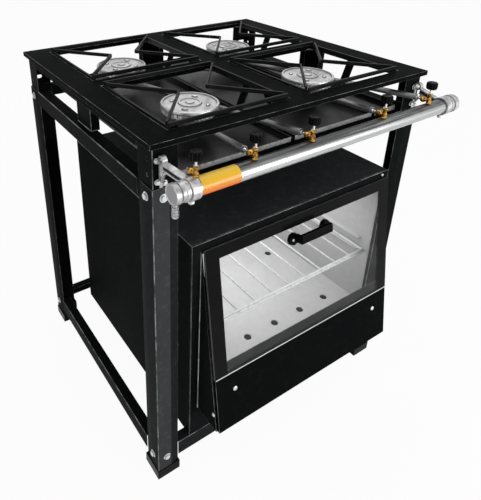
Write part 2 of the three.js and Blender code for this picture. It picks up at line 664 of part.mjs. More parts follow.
// two eight-sided feet and a flat grip bar
function doorHandle() {
  const barZ = BAR_HIGHER - HANDLE_DROP;
  const barHalf = HANDLE_SPAN / 2 - BAR_INSET;
  let handle = box(-barHalf, barHalf, -HANDLE_STAND - BAR_THICK, -HANDLE_STAND,
    barZ - BAR_WIDTH / 2, barZ + BAR_WIDTH / 2);
  for (const side of ends) {
    const x = side * HANDLE_SPAN / 2;
    const stand = -HANDLE_STAND - BAR_THICK / 2;
    handle = join(handle,
      rod([x, -SEAT, -HANDLE_DROP], [x, stand, -HANDLE_DROP], HANDLE_FOOT, 8, HANDLE_FOOT - 2));
  }
  return leaning(handle);
}

// ---------------------------------------------------------------- gas manifold
// turned about the pipe's axis: [radius, x] points
const onPipe = (profile, sides = 24) =>
  toSolid(new THREE.LatheGeometry(profile.map(([r, x]) => new THREE.Vector2(r, x)), sides)
    .rotateZ(-Math.PI / 2).translate(0, pipeY, pipeZ));

// pipe, with the stepped cap on its right end
function manifoldPipe() {
  return onPipe([[0, pipeLeft], [PIPE_RADIUS, pipeLeft], [PIPE_RADIUS, pipeRight - CAP_LENGTH],
    [capRadius, pipeRight - CAP_LENGTH], [capRadius, pipeRight - CAP_LENGTH / 2],
    [capRadius + CAP_WALL / 2, pipeRight - CAP_LENGTH / 2], [capRadius + CAP_WALL / 2, pipeRight - 2],
    [capRadius - 2, pipeRight], [0, pipeRight]]);
}

// inlet fitting over the left end, with its collar and the hose barb below
function inletFitting() {
  const right = ringLeft - RING_WIDTH / 2 - SEAT;
  const collar = right - COLLAR_LENGTH;
  const shell = onPipe([[0, inletEnd], [capRadius - 1, inletEnd], [capRadius, inletEnd + 1],
    [capRadius, collar], [capRadius + 1, collar], [capRadius + 1, right], [0, right]]);
  const bore = onPipe([[0, pipeLeft - SEAT], [PIPE_RADIUS + SEAT, pipeLeft - SEAT],
    [PIPE_RADIUS + SEAT, right + 1], [0, right + 1]]);
  const x = inletEnd + BARB_INSET;
  const top = pipeZ - PIPE_RADIUS;
  let barb = rod([x, pipeY, top + 6], [x, pipeY, top - BARB_LENGTH], BARB_RADIUS - 1.5, 10);
  const steps = 4;
  const pitch = (BARB_LENGTH - 6) / steps;
  for (let i = 0; i < steps; i += 1) {
    const z = top - BARB_LENGTH + i * pitch;
    barb = join(barb, rod([x, pipeY, z], [x, pipeY, z + pitch - 1], BARB_RADIUS - 1.6, 10, BARB_RADIUS));
  }
  return join(cut(shell, bore), barb);
}

// cast bracket: plate on the post, arm with its web, and the clamp ring round the pipe
function pipeBracket(side, ringX) {
  const x = side * bracketX;
  const plateFront = -postY - SEAT - BRACKET_SHEET;
  const foot = railTop + POST_HOLE_RISES[0] - BRACKET_FOOT;
  const head = railTop + POST_HOLE_RISES[1] + BRACKET_HEAD;
  const beside = Math.abs(ringX - x) + ARM_WIDTH;
  const armTop = head - 4;
  const y = pipeY + PIPE_RADIUS + SEAT + RING_WALL / 2;
  const ring = onPipe([[0, ringX - RING_WIDTH / 2], [ringRadius, ringX - RING_WIDTH / 2],
    [ringRadius, ringX + RING_WIDTH / 2], [0, ringX + RING_WIDTH / 2]]);
  const y0 = plateFront + 1;
  const webZ = pipeZ - ARM_LANDING;
  const reach = (width) =>
    flatBar([x, y0], [ringX + side * ARM_WIDTH / 4, y], width, pipeZ - ringRadius, head);
  const slope = alongX([[y0, armTop], [y0, armTop - ARM_DEPTH], [y, pipeZ + ARM_LANDING / 2 - ARM_DEPTH],
    [y, pipeZ + ARM_LANDING]], x - beside, x + beside);
  const web = alongX([[y0, armTop - 2], [y0, webZ], [y, webZ], [y, pipeZ + ARM_LANDING / 2]],
    x - beside, x + beside);
  let solid = join(
    box(x - BRACKET_WIDTH / 2, x + BRACKET_WIDTH / 2, plateFront, -postY - SEAT, foot, head),
    reach(ARM_WIDTH).intersect(slope), reach(WEB_SHEET).intersect(web), ring);
  for (const rise of POST_HOLE_RISES) {
    const bx = x - side * BRACKET_BOLT_INSET;
    const z = railTop + rise;
    solid = join(solid, rod([bx, y0, z], [bx, plateFront - BOLT_RISE, z], BOLT_RADIUS - 1, 6));
  }
  const screwTop = pipeZ - ringRadius + 1;
  solid = join(solid, rod([ringX, pipeY, screwTop - 10], [ringX, pipeY, screwTop], 4.5, 12));
  const pipeHole = onPipe([[0, ringX - RING_WIDTH], [PIPE_RADIUS + SEAT, ringX - RING_WIDTH],
    [PIPE_RADIUS + SEAT, ringX + RING_WIDTH], [0, ringX + RING_WIDTH]]);
  const clear = VALVE_RADIUS + SEAT;
  const tapHole = rod([tapX[0], pipeY, pipeZ], [tapX[0], pipeY, valveTop], VALVE_SHOULDER + SEAT, 24);
  const injectorSlot = box(tapX[0] - clear, tapX[0] + clear, pipeY, y + 9, valveFoot - 1, valveTop);
  return cut(solid, pipeHole, tapHole, injectorSlot);
}

// ---------------------------------------------------------------- valves and knobs
// drawn about the valve's own axis, z = 0 at its foot on the pipe
function valve() {
  const shoulder = VALVE_SHOULDER - 1;
  const stemTop = VALVE_HEIGHT + STEM_SHOWING + KNOB_BORE_DEPTH - SEAT;
  const body = turned([[0, 0], [VALVE_RADIUS, 0], [VALVE_RADIUS, VALVE_HEIGHT * 0.55],
    [shoulder, VALVE_HEIGHT * 0.65], [shoulder, VALVE_HEIGHT * 0.9], [STEM_RADIUS + 1.5, VALVE_HEIGHT],
    [STEM_RADIUS, VALVE_HEIGHT], [STEM_RADIUS, stemTop], [0, stemTop]], 12);
  const z = INJECTOR_RISE;
  const tip = INJECTOR_LENGTH - INJECTOR_TIP;
  return join(body, rod([0, 0, z], [0, tip, z], INJECTOR_RADIUS, 10),
    rod([0, tip - 0.5, z], [0, INJECTOR_LENGTH, z], INJECTOR_RADIUS - 0.4, 10, INJECTOR_RADIUS - 2));
}

// fluted knob, z = 0 at its foot
function knob() {
  const rim = [];
  const steps = KNOB_FLUTES * 3;
  for (let i = 0; i < steps; i += 1) {
    const turn = i / steps * 2 * Math.PI;
    const r = KNOB_RADIUS - KNOB_FLUTE_DEPTH * (1 - Math.cos(turn * KNOB_FLUTES)) / 2;
    rim.push([r * Math.cos(turn), r * Math.sin(turn)]);
  }
  const crown = turned([[0, -1], [KNOB_RADIUS, -1], [KNOB_RADIUS, KNOB_HEIGHT - 1.5],
    [KNOB_RADIUS - 1.5, KNOB_HEIGHT], [0, KNOB_HEIGHT]], 36);
  const bore = rod([0, 0, -1], [0, 0, KNOB_BORE_DEPTH], STEM_RADIUS + SEAT, 12);
  return cut(prism(rim, 0, KNOB_HEIGHT + 1).intersect(crown), bore);
}

// ---------------------------------------------------------------- burners
// bowl with its mixing tube, drawn where it stands
function burnerBody(x, y, valveX) {
  const bowl = turned([[0, 0], [BOWL_FOOT, 0], [BOWL_RADIUS - 4, BOWL_HEIGHT * 0.45],
    [BOWL_RADIUS, BOWL_HEIGHT * 0.6], [BOWL_RADIUS, BOWL_HEIGHT], [CAP_SPIGOT + 1, BOWL_HEIGHT],
    [CAP_SPIGOT + 1, BOWL_HEIGHT - RECESS_DEPTH],
    [0, BOWL_HEIGHT - RECESS_DEPTH]], 28).translate([x, y, bowlFoot]);
  const mouth = new THREE.Vector3(valveX, mouthY, injectorZ);
  const inner = new THREE.Vector3(x, y, bowlFoot + TUBE_RISE);
  const along = inner.clone().sub(mouth).normalize();
  const neck = mouth.clone().addScaledVector(along, TUBE_MOUTH_LENGTH);
  const deep = mouth.clone().addScaledVector(along, TUBE_MOUTH_LENGTH * 0.8);
  const back = mouth.clone().addScaledVector(along, -1);
  const stop = inner.clone().addScaledVector(along, -BOWL_RADIUS / 2);
  return cut(join(bowl,
    rod(mouth.toArray(), stop.toArray(), TUBE_RADIUS, 16),
    rod(mouth.toArray(), neck.toArray(), TUBE_MOUTH_RADIUS, 16, TUBE_RADIUS)),
  rod(back.toArray(), deep.toArray(), TUBE_MOUTH_RADIUS - 2, 16, TUBE_RADIUS - 3));
}

// lift-off cap, z = 0 at its underside: stepped rings and four raised ovals round a hub
function burnerCap() {
  const r = BURNER_RADIUS;
  const disc = turned([[0, -RECESS_DEPTH + 1], [CAP_SPIGOT, -RECESS_DEPTH + 1], [CAP_SPIGOT, 0], [r, 0],
    [r, BURNER_CAP - CAP_CHAMFER], [r - CAP_CHAMFER, BURNER_CAP - CAP_CHAMFER / 2],
    [r - CAP_RIM, BURNER_CAP - 1], [r - CAP_RIM - CAP_STEP, BURNER_CAP - 2.5],
    [r - CAP_TROUGH, BURNER_CAP - 2], [r - CAP_TROUGH - CAP_STEP, BURNER_CAP - 1],
    [r - CAP_FIELD, BURNER_CAP], [0, BURNER_CAP]], 32);
  const bumps = [0, 1, 2, 3].map((i) => {
    const turn = Math.PI / 4 + i * Math.PI / 2;
    return toSolid(new THREE.SphereGeometry(OVAL_RADIUS, 8, 4).scale(1, 1.5, 0.35).rotateZ(turn)
      .translate(Math.cos(turn) * OVAL_REACH, Math.sin(turn) * OVAL_REACH, BURNER_CAP - 1.4));
  });
  return join(disc, ...bumps);
}

// ---------------------------------------------------------------- grates and trays
// drawn about the opening's middle, z = 0 at the hob plate's face
function grate() {
  const x = openW / 2 - GRATE_CLEAR - GRATE_BAR / 2;
  const y = openD / 2 - GRATE_CLEAR - GRATE_BAR / 2;
  const half = GRATE_BAR / 2;
  const low = GRATE_RISE - GRATE_HEIGHT;
  const sideFoot = low + BAR_LAP - SIDE_BAR_HEIGHT;
  const bars = [];
  for (const side of ends) {
    bars.push(flatBar([-x - half, side * y], [x + half, side * y], GRATE_BAR, low, GRATE_RISE));
    bars.push(flatBar([side * x, -y - half], [side * x, y + half], GRATE_BAR, sideFoot, low + BAR_LAP));
    for (const way of ends) {
      bars.push(flatBar([side * x, way * (y - FINGER_INSET)], [side * FINGER_GAP / 2, 0],
        GRATE_BAR, low, GRATE_RISE));
    }
  }
  return join(...bars);
}

// shallow tray between the hob's lower rails, open at the top
function dripTray(x0, x1) {
  const y0 = -legY + TRAY_FRONT;
  const y1 = legY - TRAY_BACK;
  const rim = trayFoot + TRAY_LIP;
  return cut(box(x0, x1, y0, y1, trayFoot, rim),
    box(x0 + TRAY_SHEET, x1 - TRAY_SHEET, y0 + TRAY_SHEET, y1 - TRAY_SHEET, trayFoot + TRAY_SHEET, rim + 1));
}

// ---------------------------------------------------------------- the whole range
place('hob_plate', hobPlate(), paint);

for (const corner of corners) {
  place(`post_${corner.name}`, atCorner(cornerPost(corner.sy > 0), corner), paint);
  place(`leg_${corner.name}`, atCorner(leg(), corner), paint);
  place(`foot_${corner.name}`, atCorner(foot(), corner), plastic);
}

const hobRail = [railTop, RAIL_FACE, RAIL_FLANGE];
const hobFrontRail = frontRail(...hobRail);
const hobLeftRail = join(leftRail(...hobRail), midPost(-legX + MID_POST_SET, 0));
const backPost = midPost(-legY, 0).rotate([0, 0, 90]);
place('hob_rail_front', hobFrontRail, paint);
place('hob_rail_back', join(mirrorY(hobFrontRail), mirrorY(backPost)), paint);
place('hob_rail_left', hobLeftRail, paint);
place('hob_rail_right', mirrorX(hobLeftRail), paint);

const baseRail = [BASE_RAIL_TOP, BASE_RAIL_FACE, BASE_RAIL_FLANGE];
place('base_rail_front', frontRail(...baseRail), paint);
place('base_rail_back', mirrorY(frontRail(...baseRail)), paint);
place('base_rail_left', leftRail(...baseRail), paint);
place('base_rail_right', mirrorX(leftRail(...baseRail)), paint);

place('oven_shell', ovenShell(), paint);
place('oven_bottom', ovenBottom(), paint);
place('oven_liner', ovenLiner(), galvanised);
place('oven_floor', ovenFloor(), galvanised);
place('oven_front_frame', frontFrame(), paint);
place('oven_tube_burner', tubeBurner(), galvanised);
place('oven_rack', ovenRack(), wire);

place('door_panel', doorPanel(), paint);
place('door_glass', doorGlass(), glass);
place('door_handle', doorHandle(), plastic);

place('manifold_pipe', manifoldPipe(), zincPlated);
place('inlet_fitting', inletFitting(), zincPlated);
place('bracket_left', pipeBracket(-1, ringLeft), zincPlated);
place('bracket_right', pipeBracket(1, ringRight), zincPlated);

const served = ['oven', ...corners.filter(({ sx }) => sx < 0).map(({ name }) => name),
  ...corners.filter(({ sx }) => sx > 0).map(({ name }) => name)];
served.forEach((name, i) => {
  place(`valve_${name}`, valve(), brass, tapX[i], pipeY, valveFoot);
  place(`knob_${name}`, knob(), plastic, tapX[i], pipeY, knobFoot);
});

for (const corner of corners) {
  const x = corner.sx * openX;
  const y = corner.sy * openY;
  const burnerX = x - BURNER_SHIFT;
  const servedFrom = tapX[served.indexOf(corner.name)];
  place(`burner_body_${corner.name}`, burnerBody(burnerX, y, servedFrom), castAluminium);
  place(`burner_cap_${corner.name}`, burnerCap(), castAluminium, burnerX, y, bowlTop + SEAT);
  place(`grate_${corner.name}`, grate(), blackIron, x, y, TOP_HEIGHT);
}

const trayEnd = postX - POST_FLANGE - TRAY_END_CLEAR;
const splitHalf = TRAY_SPLIT_GAP / 2;
const trayEdges = [-trayEnd, ...TRAY_SPLITS.flatMap((x) => [x - splitHalf, x + splitHalf]), trayEnd];
['left', 'middle', 'right'].forEach((name, i) =>
  place(`drip_tray_${name}`, dripTray(trayEdges[2 * i], trayEdges[2 * i + 1]), aluminium));

// the origin, on the floor below the middle of everything
const front = pipeY - ringRadius;
range.position.set((halfW - pipeRight) / 2, -(front + halfD) / 2, 0);
range.updateMatrixWorld(true);

export default range;
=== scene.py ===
"""Looks of a floor-standing gas range: finishes, castings, turned parts, fasteners, camera and light."""
import json
import math
from functools import cached_property

import bmesh
import bpy
from bpy.props import FloatProperty, FloatVectorProperty, IntProperty, PointerProperty
from mathutils import Matrix, Vector

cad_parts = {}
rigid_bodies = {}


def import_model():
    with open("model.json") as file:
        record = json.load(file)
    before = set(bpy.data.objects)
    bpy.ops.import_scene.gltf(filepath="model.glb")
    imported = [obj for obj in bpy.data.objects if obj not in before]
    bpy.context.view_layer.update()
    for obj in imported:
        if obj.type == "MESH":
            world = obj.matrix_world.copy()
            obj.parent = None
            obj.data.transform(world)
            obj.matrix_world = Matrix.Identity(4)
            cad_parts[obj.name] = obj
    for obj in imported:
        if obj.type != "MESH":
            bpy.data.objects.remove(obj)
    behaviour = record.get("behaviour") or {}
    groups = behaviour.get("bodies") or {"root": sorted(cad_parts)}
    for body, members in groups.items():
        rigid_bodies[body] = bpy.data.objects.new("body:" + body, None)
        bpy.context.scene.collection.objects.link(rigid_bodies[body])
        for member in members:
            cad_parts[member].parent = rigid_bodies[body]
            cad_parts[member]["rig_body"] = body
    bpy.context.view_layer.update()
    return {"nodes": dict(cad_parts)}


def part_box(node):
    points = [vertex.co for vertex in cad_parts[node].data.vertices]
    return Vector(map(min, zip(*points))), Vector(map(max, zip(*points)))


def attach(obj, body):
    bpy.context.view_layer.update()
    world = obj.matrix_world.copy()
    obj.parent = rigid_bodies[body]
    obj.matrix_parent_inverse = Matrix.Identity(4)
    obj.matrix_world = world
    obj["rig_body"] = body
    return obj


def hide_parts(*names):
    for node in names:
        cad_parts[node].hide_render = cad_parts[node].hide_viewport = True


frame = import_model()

bl_info = {
    "name": "Four-burner gas range",
    "version": (1, 0, 0),
    "blender": (4, 5, 0),
    "location": "View3D > Sidebar > Range",
    "description": "Builds the finishes, castings, fasteners and studio of a four-burner gas range",
    "category": "Object",
}

MM = 0.001
# each corner's name, and the signs of its x and y
CORNERS = {"front_left": (-1, -1), "front_right": (1, -1), "back_left": (-1, 1), "back_right": (1, 1)}
TAPS = ("oven", "front_left", "back_left", "front_right", "back_right")
SHARP = math.radians(32)       # edges that turn more than this stay crisp
FLAT = math.radians(24)        # edges of folded sheet that turn less than this aren't rounded
WELD = 0.00001                 # vertices closer than this are one
PLAIN_HEAD = 4 * MM            # how far the legs' plain bolt heads stand out

X_AXIS = Vector((1, 0, 0))
Y_AXIS = Vector((0, 1, 0))
Z_AXIS = Vector((0, 0, 1))


def mm(x, y, z):
    """A place or a step given in millimetres."""
    return Vector((x, y, z)) * MM


# ------------------------------------------------------------------ what a user may change
def length(name, description, millimetres):
    """A length property, given in millimetres and held in metres."""
    return FloatProperty(name=name, description=description, default=millimetres * MM,
                         subtype="DISTANCE", unit="LENGTH", min=0.0, precision=4)


def tint(name, description, colour):
    """A colour property."""
    return FloatVectorProperty(name=name, description=description, default=colour,
                               subtype="COLOR", size=3, min=0.0, max=1.0)


class RangeSizes(bpy.types.PropertyGroup):
    """Small sizes that only the looks have."""

    fold_radius: length("Fold radius", "Rounding of the folded sheet's outer corners", 1.5)
    cut_radius: length("Cut radius", "Rounding of the sheet's cut edges", 0.4)
    bolt_radius: length("Bolt radius", "Across the corners of the hex bolts on the legs, halved", 6.6)
    bolt_height: length("Bolt height", "Height of the hex bolts on the legs", 4.6)
    washer_radius: length("Washer radius", "Washers under the hex bolts", 8.5)
    screw_radius: length("Door screw radius", "Round heads of the screws in the door's apron", 5.5)
    band_length: length("Band length", "Plain yellow band round the gas pipe", 77)
    knob_flute: length("Knob flute depth", "Depth of the flutes round each knob", 1.2)
    knob_flutes: IntProperty(name="Knob flutes", description="Flutes round each knob", default=12, min=3)
    burner_ports: IntProperty(name="Burner ports", description="Gas slots round each burner",
                              default=40, min=8)


class RangeFinishes(bpy.types.PropertyGroup):
    """Colours of the range's finishes."""

    paint: tint("Frame paint", "Black paint of the frame, oven and door", (0.0055, 0.006, 0.0063))
    paint_dust: tint("Paint dust", "Dull haze on the black paint", (0.017, 0.018, 0.0185))
    # this bright colour along the folds is a painted highlight
    paint_edge: tint("Paint edges", "Thin bright paint along the folds", (0.34, 0.345, 0.345))
    galvanised: tint("Oven lining", "Zinc-coated sheet inside the oven", (0.8, 0.8, 0.8))
    zinc: tint("Zinc", "Bare gas pipe and bright bolts", (0.56, 0.565, 0.57))
    # this colour is also painted shade on the burner caps' steps
    tube: tint("Mixing tubes", "Smoked aluminium of the burners' tubes", (0.2, 0.2, 0.2))
    cast_zinc: tint("Cast fittings", "Pipe fitting and brackets", (0.46, 0.46, 0.46))
    cast_aluminium: tint("Cast aluminium", "Burners' bowls and caps", (0.56, 0.56, 0.56))
    # this near-black metal colour is painted shade and painted dark reflection under the hob plate
    tray: tint("Tray sheet", "Drip trays", (0.024, 0.024, 0.0245))
    # the lips' lighter colour is partly their scraped finish and partly painted light
    tray_lip: tint("Tray lip", "Rough front lips of the drip trays", (0.24, 0.24, 0.24))
    brass: tint("Brass", "Taps and injectors", (0.5, 0.27, 0.06))
    plastic: tint("Black plastic", "Knobs, handle and feet", (0.003, 0.003, 0.0032))
    enamel: tint("Printed border", "Black border printed on the door's glass", (0.003, 0.003, 0.003))
    band_top: tint("Band, upper side", "Plain band round the gas pipe, at the top", (0.85, 0.55, 0.015))
    band_foot: tint("Band, lower side", "Plain band round the gas pipe, at the bottom", (0.74, 0.06, 0.004))


class RangeStudio(bpy.types.PropertyGroup):
    """Light and floor."""

    floor: tint("Floor", "Pale studio floor", (0.82, 0.82, 0.82))
    key_power: FloatProperty(name="Key light", description="Power of the front soft box",
                             default=44.0, min=0.0, unit="POWER")
    fill_power: FloatProperty(name="Fill light", description="Power of the side soft box",
                              default=7.0, min=0.0, unit="POWER")
    top_power: FloatProperty(name="Top light", description="Power of the overhead soft box",
                             default=12.0, min=0.0, unit="POWER")
    oven_power: FloatProperty(name="Oven light", description="Power of the soft light inside the oven",
                              default=2.4, min=0.0, unit="POWER")
    world_level: FloatProperty(name="World level", description="Diffuse light from all round",
                               default=0.55, min=0.0)


def sizes():
    """The scene's RangeSizes."""
    return bpy.context.scene.range_sizes


def finishes():
    """The scene's RangeFinishes."""
    return bpy.context.scene.range_finishes


# ------------------------------------------------------------------ shader expressions
class Socket:
    """A node's output that takes part in Python arithmetic by adding Math nodes."""

    def __init__(self, recipe, output):
        self.recipe = recipe
        self.output = output

    def maths(self, operation, first, second):
        """One Math node on two numbers or sockets."""
        return self.recipe.node("ShaderNodeMath", {0: first, 1: second}, operation=operation)

    def __add__(self, other):
        return self.maths("ADD", self, other)

    def __radd__(self, other):
        return self.maths("ADD", other, self)

    def __sub__(self, other):
        return self.maths("SUBTRACT", self, other)

    def __rsub__(self, other):
        return self.maths("SUBTRACT", other, self)

    def __mul__(self, other):
        return self.maths("MULTIPLY", self, other)

    def __rmul__(self, other):
        return self.maths("MULTIPLY", other, self)


def shade_of(colour, factor):
    """A colour made darker or lighter."""
    return tuple(min(1.0, c * factor) for c in colour)


class Recipe:
    """The nodes of one material, or of the world."""

    def __init__(self, owner, shader="Principled BSDF"):
        owner.use_nodes = True
        self.tree = owner.node_tree
        self.shader = self.tree.nodes[shader]

    @cached_property
    def point(self):
        """The point of the piece, which its patterns read."""
        return self.node("ShaderNodeTexCoord", output="Object")

    def node(self, kind, sockets=None, output=0, **settings):
        """Adds a node, sets it, feeds its sockets with values or links, and returns one output."""
        made = self.tree.nodes.new(kind)
        for name, value in settings.items():
            setattr(made, name, value)
        for name, value in (sockets or {}).items():
            self.feed(made.inputs[name], value)
        return Socket(self, made.outputs[output])

    def feed(self, socket, value):
        """Links a socket to another, or sets its own value."""
        if isinstance(value, Socket):
            self.tree.links.new(value.output, socket)
        else:
            socket.default_value = value

    def shade(self, **values):
        """Feeds the shader: base_color becomes Base Color, and so on."""
        for name, value in values.items():
            words = "Specular IOR Level" if name == "specular" else name.replace("_", " ").title()
            if not isinstance(value, Socket) and hasattr(value, "__len__"):
                value = (*value, 1.0)
            self.feed(self.shader.inputs[words], value)

    def noise(self, scale, detail=2.0, roughness=0.5, stretch=None):
        """Noise from 0 to 1, with scale features a metre, times stretch along each axis."""
        point = self.point
        if stretch:
            point = self.node("ShaderNodeMapping", {"Vector": point, "Scale": stretch})
        return self.node("ShaderNodeTexNoise",
                         {"Vector": point, "Scale": scale, "Detail": detail, "Roughness": roughness})

    def height(self):
        """How high the point is."""
        return self.node("ShaderNodeSeparateXYZ", {"Vector": self.point}, output="Z")

    def spread(self, value, low, high, bottom=0.0, top=1.0):
        """Value from low to high becomes bottom to top, and stays inside."""
        return self.node("ShaderNodeMapRange",
                         {"Value": value, "From Min": low, "From Max": high, "To Min": bottom, "To Max": top})

    def middling(self, noise, bottom, top):
        """Noise, which is mostly from 0.3 to 0.7, becomes bottom to top."""
        return self.spread(noise, 0.3, 0.7, bottom, top)

    def mix(self, mask, first, second):
        """Colour between first, where the mask is 0, and second, where it is 1."""
        return self.node("ShaderNodeMix", {0: mask, 6: (*first, 1.0), 7: (*second, 1.0)}, output=2,
                         data_type="RGBA")

    def tones(self, mask, colour, first, second):
        """One colour times first, where the mask is 0, and times second, where it is 1."""
        return self.mix(mask, shade_of(colour, first), shade_of(colour, second))

    def bump(self, height, distance, under=None):
        """A normal from a height field, over another normal if there is one."""
        sockets = {"Height": height, "Distance": distance}
        if under is not None:
            sockets["Normal"] = under
        return self.node("ShaderNodeBump", sockets)

    def grain(self, distance, *noise, under=None):
        """A normal from noise of its own, which stands distance metres proud."""
        return self.bump(self.noise(*noise), distance, under)

    def shown(self, hidden, seen):
        """The number seen for what the camera sees, also in metal and through glass, and hidden otherwise."""
        camera, glossy, through = (self.node("ShaderNodeLightPath", output=f"Is {ray} Ray")
                                   for ray in ("Camera", "Glossy", "Transmission"))
        return self.spread(camera + glossy + through, 0, 1, hidden, seen)


# ------------------------------------------------------------------ finishes
def painted(recipe, specular, smooth=0.36, painted_lightness=1.0):
    """Satin black paint on sheet steel: fine orange peel, slow buckles, haze, dust and faint scuffs;
    painted_lightness above 1 makes its colours lighter as painted light, below 1 darker as painted shade.
    """
    haze = recipe.noise(6, 4, 0.6)
    dust = recipe.spread(recipe.noise(55, 6, 0.65), 0.52, 0.78)
    scuffs = recipe.spread(recipe.noise(30, 3, 0.6, (1, 9, 9)), 0.68, 0.72)
    # painted_lightness scales both colours: painted light above 1, painted shade below 1
    colour = recipe.mix(dust * 0.5 + scuffs * 0.25 + haze * 0.25, shade_of(finishes().paint, painted_lightness),
                        shade_of(finishes().paint_dust, painted_lightness))
    buckles = recipe.grain(0.0012, 3.5, 1)
    recipe.shade(base_color=colour, roughness=recipe.middling(haze, smooth, smooth + 0.13) + scuffs * 0.08,
                 specular=specular, normal=recipe.grain(0.00003, 640, 1.5, under=buckles))


def plate_paint(recipe):
    """Black paint on the hob plate, dulled by heat and wiping, its colour darkened to 0.7 as painted shade.
    """
    painted(recipe, 0.004, 0.42, 0.7)


def shell_paint(recipe):
    """Black paint on the oven's shell, bottom and front frame."""
    painted(recipe, 0.003, 0.4)


def frame_paint(recipe):
    """Black paint on the posts, and on most legs and rails, its colour darkened to 0.8 as painted shade."""
    painted(recipe, 0.006, 0.38, 0.8)


def dusty_paint(recipe):
    """Black paint made 2.1 times lighter as painted light, on the front left leg's sides and the front base
    rail.
    """
    painted(recipe, 0.004, 0.34, 2.1)


def settled_dust(recipe):
    """Black paint made 6 times lighter as painted light, on the oven's top and the front left leg's front."""
    painted(recipe, 0.003, 0.4, 6.0)


def front_paint(recipe):
    """Smoother black paint on the door and the front hob rail, its colour darkened to 0.6 as painted shade.
    """
    painted(recipe, 0.002, 0.34, 0.6)


def rubbed_paint(recipe, least, most):
    """Painted highlight along the folds: a bright colour, brighter here and there."""
    highlight_mask = recipe.spread(recipe.noise(34, 5, 0.65), 0.4, 0.66)
    recipe.shade(base_color=recipe.tones(highlight_mask, finishes().paint_edge, least, most), specular=0.1,
                 roughness=recipe.spread(highlight_mask, 0, 1, 0.32, 0.45), normal=recipe.grain(0.00003, 500, 2))


def paint_edge(recipe):
    """Painted highlight on most folds."""
    rubbed_paint(recipe, 0.12, 1)


def bright_edge(recipe):
    """Stronger painted highlight on the folds of the oven's front, which lie in the hob's shade."""
    rubbed_paint(recipe, 0.8, 2.2)


def black_iron(recipe):
    """Painted grate bars: the frame's black, duller and burnt greyish here and there."""
    burnt = recipe.spread(recipe.noise(24, 5, 0.6), 0.5, 0.72)
    recipe.shade(base_color=recipe.mix(burnt * 0.8, finishes().paint, finishes().paint_dust), specular=0.1,
                 roughness=recipe.spread(burnt, 0, 1, 0.42, 0.56),
                 normal=recipe.grain(0.00005, 900, under=recipe.grain(0.00015, 140)))


def spangled(recipe, share):
    """Zinc-coated sheet with faint spangle."""
    spangle = recipe.node("ShaderNodeTexVoronoi", {"Vector": recipe.point, "Scale": 85}, output="Color")
    grey = recipe.node("ShaderNodeRGBToBW", {"Color": spangle})
    mask = grey * 0.5 + recipe.noise(9, 4, 0.6) * 0.5
    base = shade_of(finishes().galvanised, share)
    recipe.shade(base_color=recipe.tones(mask, base, 0.88, 1.1), metallic=0.1, specular=0.3,
                 roughness=recipe.spread(mask, 0.2, 0.8, 0.4, 0.56), normal=recipe.grain(0.00003, 420))


def galvanised(recipe):
    """Zinc-coated sheet of the oven's walls."""
    spangled(recipe, 0.5)


def floor_zinc(recipe):
    """Zinc-coated sheet made lighter as painted light, on the oven's floor and the liner's upward faces."""
    spangled(recipe, 0.62)


def bare_zinc(recipe):
    """Bare steel pipe: bands and streaks along its length, dull spots, a painted dark reflection along the
    top and painted shade along the bottom.
    """
    bands = recipe.spread(recipe.noise(9, 3, 0.6, (0.25, 14, 14)), 0.36, 0.64)
    streaks = recipe.spread(recipe.noise(26, 4, 0.65, (0.5, 16, 16)), 0.4, 0.68)
    spots = recipe.spread(recipe.noise(70, 5, 0.7), 0.52, 0.72)
    low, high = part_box("manifold_pipe")
    height = recipe.height()
    # painted dark reflection along the pipe's top
    painted_dark_top = recipe.spread(height + bands * 0.004, high.z - 0.011, high.z - 0.003)
    # painted shade along the pipe's bottom
    under = recipe.spread(height + bands * 0.003, low.z + 0.002, low.z + 0.012, 0.75, 0)
    mask = recipe.spread(painted_dark_top * 0.8 + under + bands * 0.32 + streaks * 0.26 + spots * 0.14, 0, 1)
    recipe.shade(base_color=recipe.tones(mask, finishes().zinc, 1.1, 0.17), metallic=1.0,
                 roughness=recipe.spread(streaks, 0, 1, 0.26, 0.42) + spots * 0.1,
                 normal=recipe.bump(streaks, 0.00004, recipe.grain(0.00002, 900)))


def bolt_zinc(recipe):
    """Bright zinc on small fasteners."""
    mottle = recipe.noise(300, 4, 0.6)
    recipe.shade(base_color=recipe.tones(mottle, finishes().zinc, 1.35, 0.95), metallic=0.9,
                 roughness=recipe.middling(mottle, 0.25, 0.42), normal=recipe.grain(0.00002, 1500))


def cast_zinc(recipe):
    """Die-cast fitting: pale, slightly grainy, duller here and there."""
    cloud = recipe.noise(60, 5, 0.6)
    dull = recipe.spread(cloud, 0.35, 0.68)
    recipe.shade(base_color=recipe.tones(dull, finishes().cast_zinc, 1.35, 0.6), metallic=0.85,
                 roughness=recipe.middling(cloud, 0.36, 0.5),
                 normal=recipe.grain(0.00004, 700, 3, 0.6, under=recipe.grain(0.0001, 120)))


def cast_end(recipe):
    """Die-cast fitting's flat end, darker than its sides as painted shade."""
    cloud = recipe.noise(90, 4, 0.6)
    recipe.shade(base_color=recipe.tones(cloud, finishes().cast_zinc, 0.5, 0.75), metallic=0.6,
                 roughness=recipe.middling(cloud, 0.45, 0.6), normal=recipe.grain(0.00005, 700, 3))


def cast_aluminium(recipe):
    """Sand-cast aluminium: pale and grainy, with smoke in its grain."""
    smoke = recipe.spread(recipe.noise(26, 5, 0.6), 0.42, 0.75)
    recipe.shade(base_color=recipe.tones(smoke, finishes().cast_aluminium, 1.25, 0.6), metallic=0.85,
                 roughness=recipe.spread(smoke, 0, 1, 0.32, 0.5),
                 normal=recipe.grain(0.00012, 520, 4, 0.65, under=recipe.grain(0.0003, 90)))


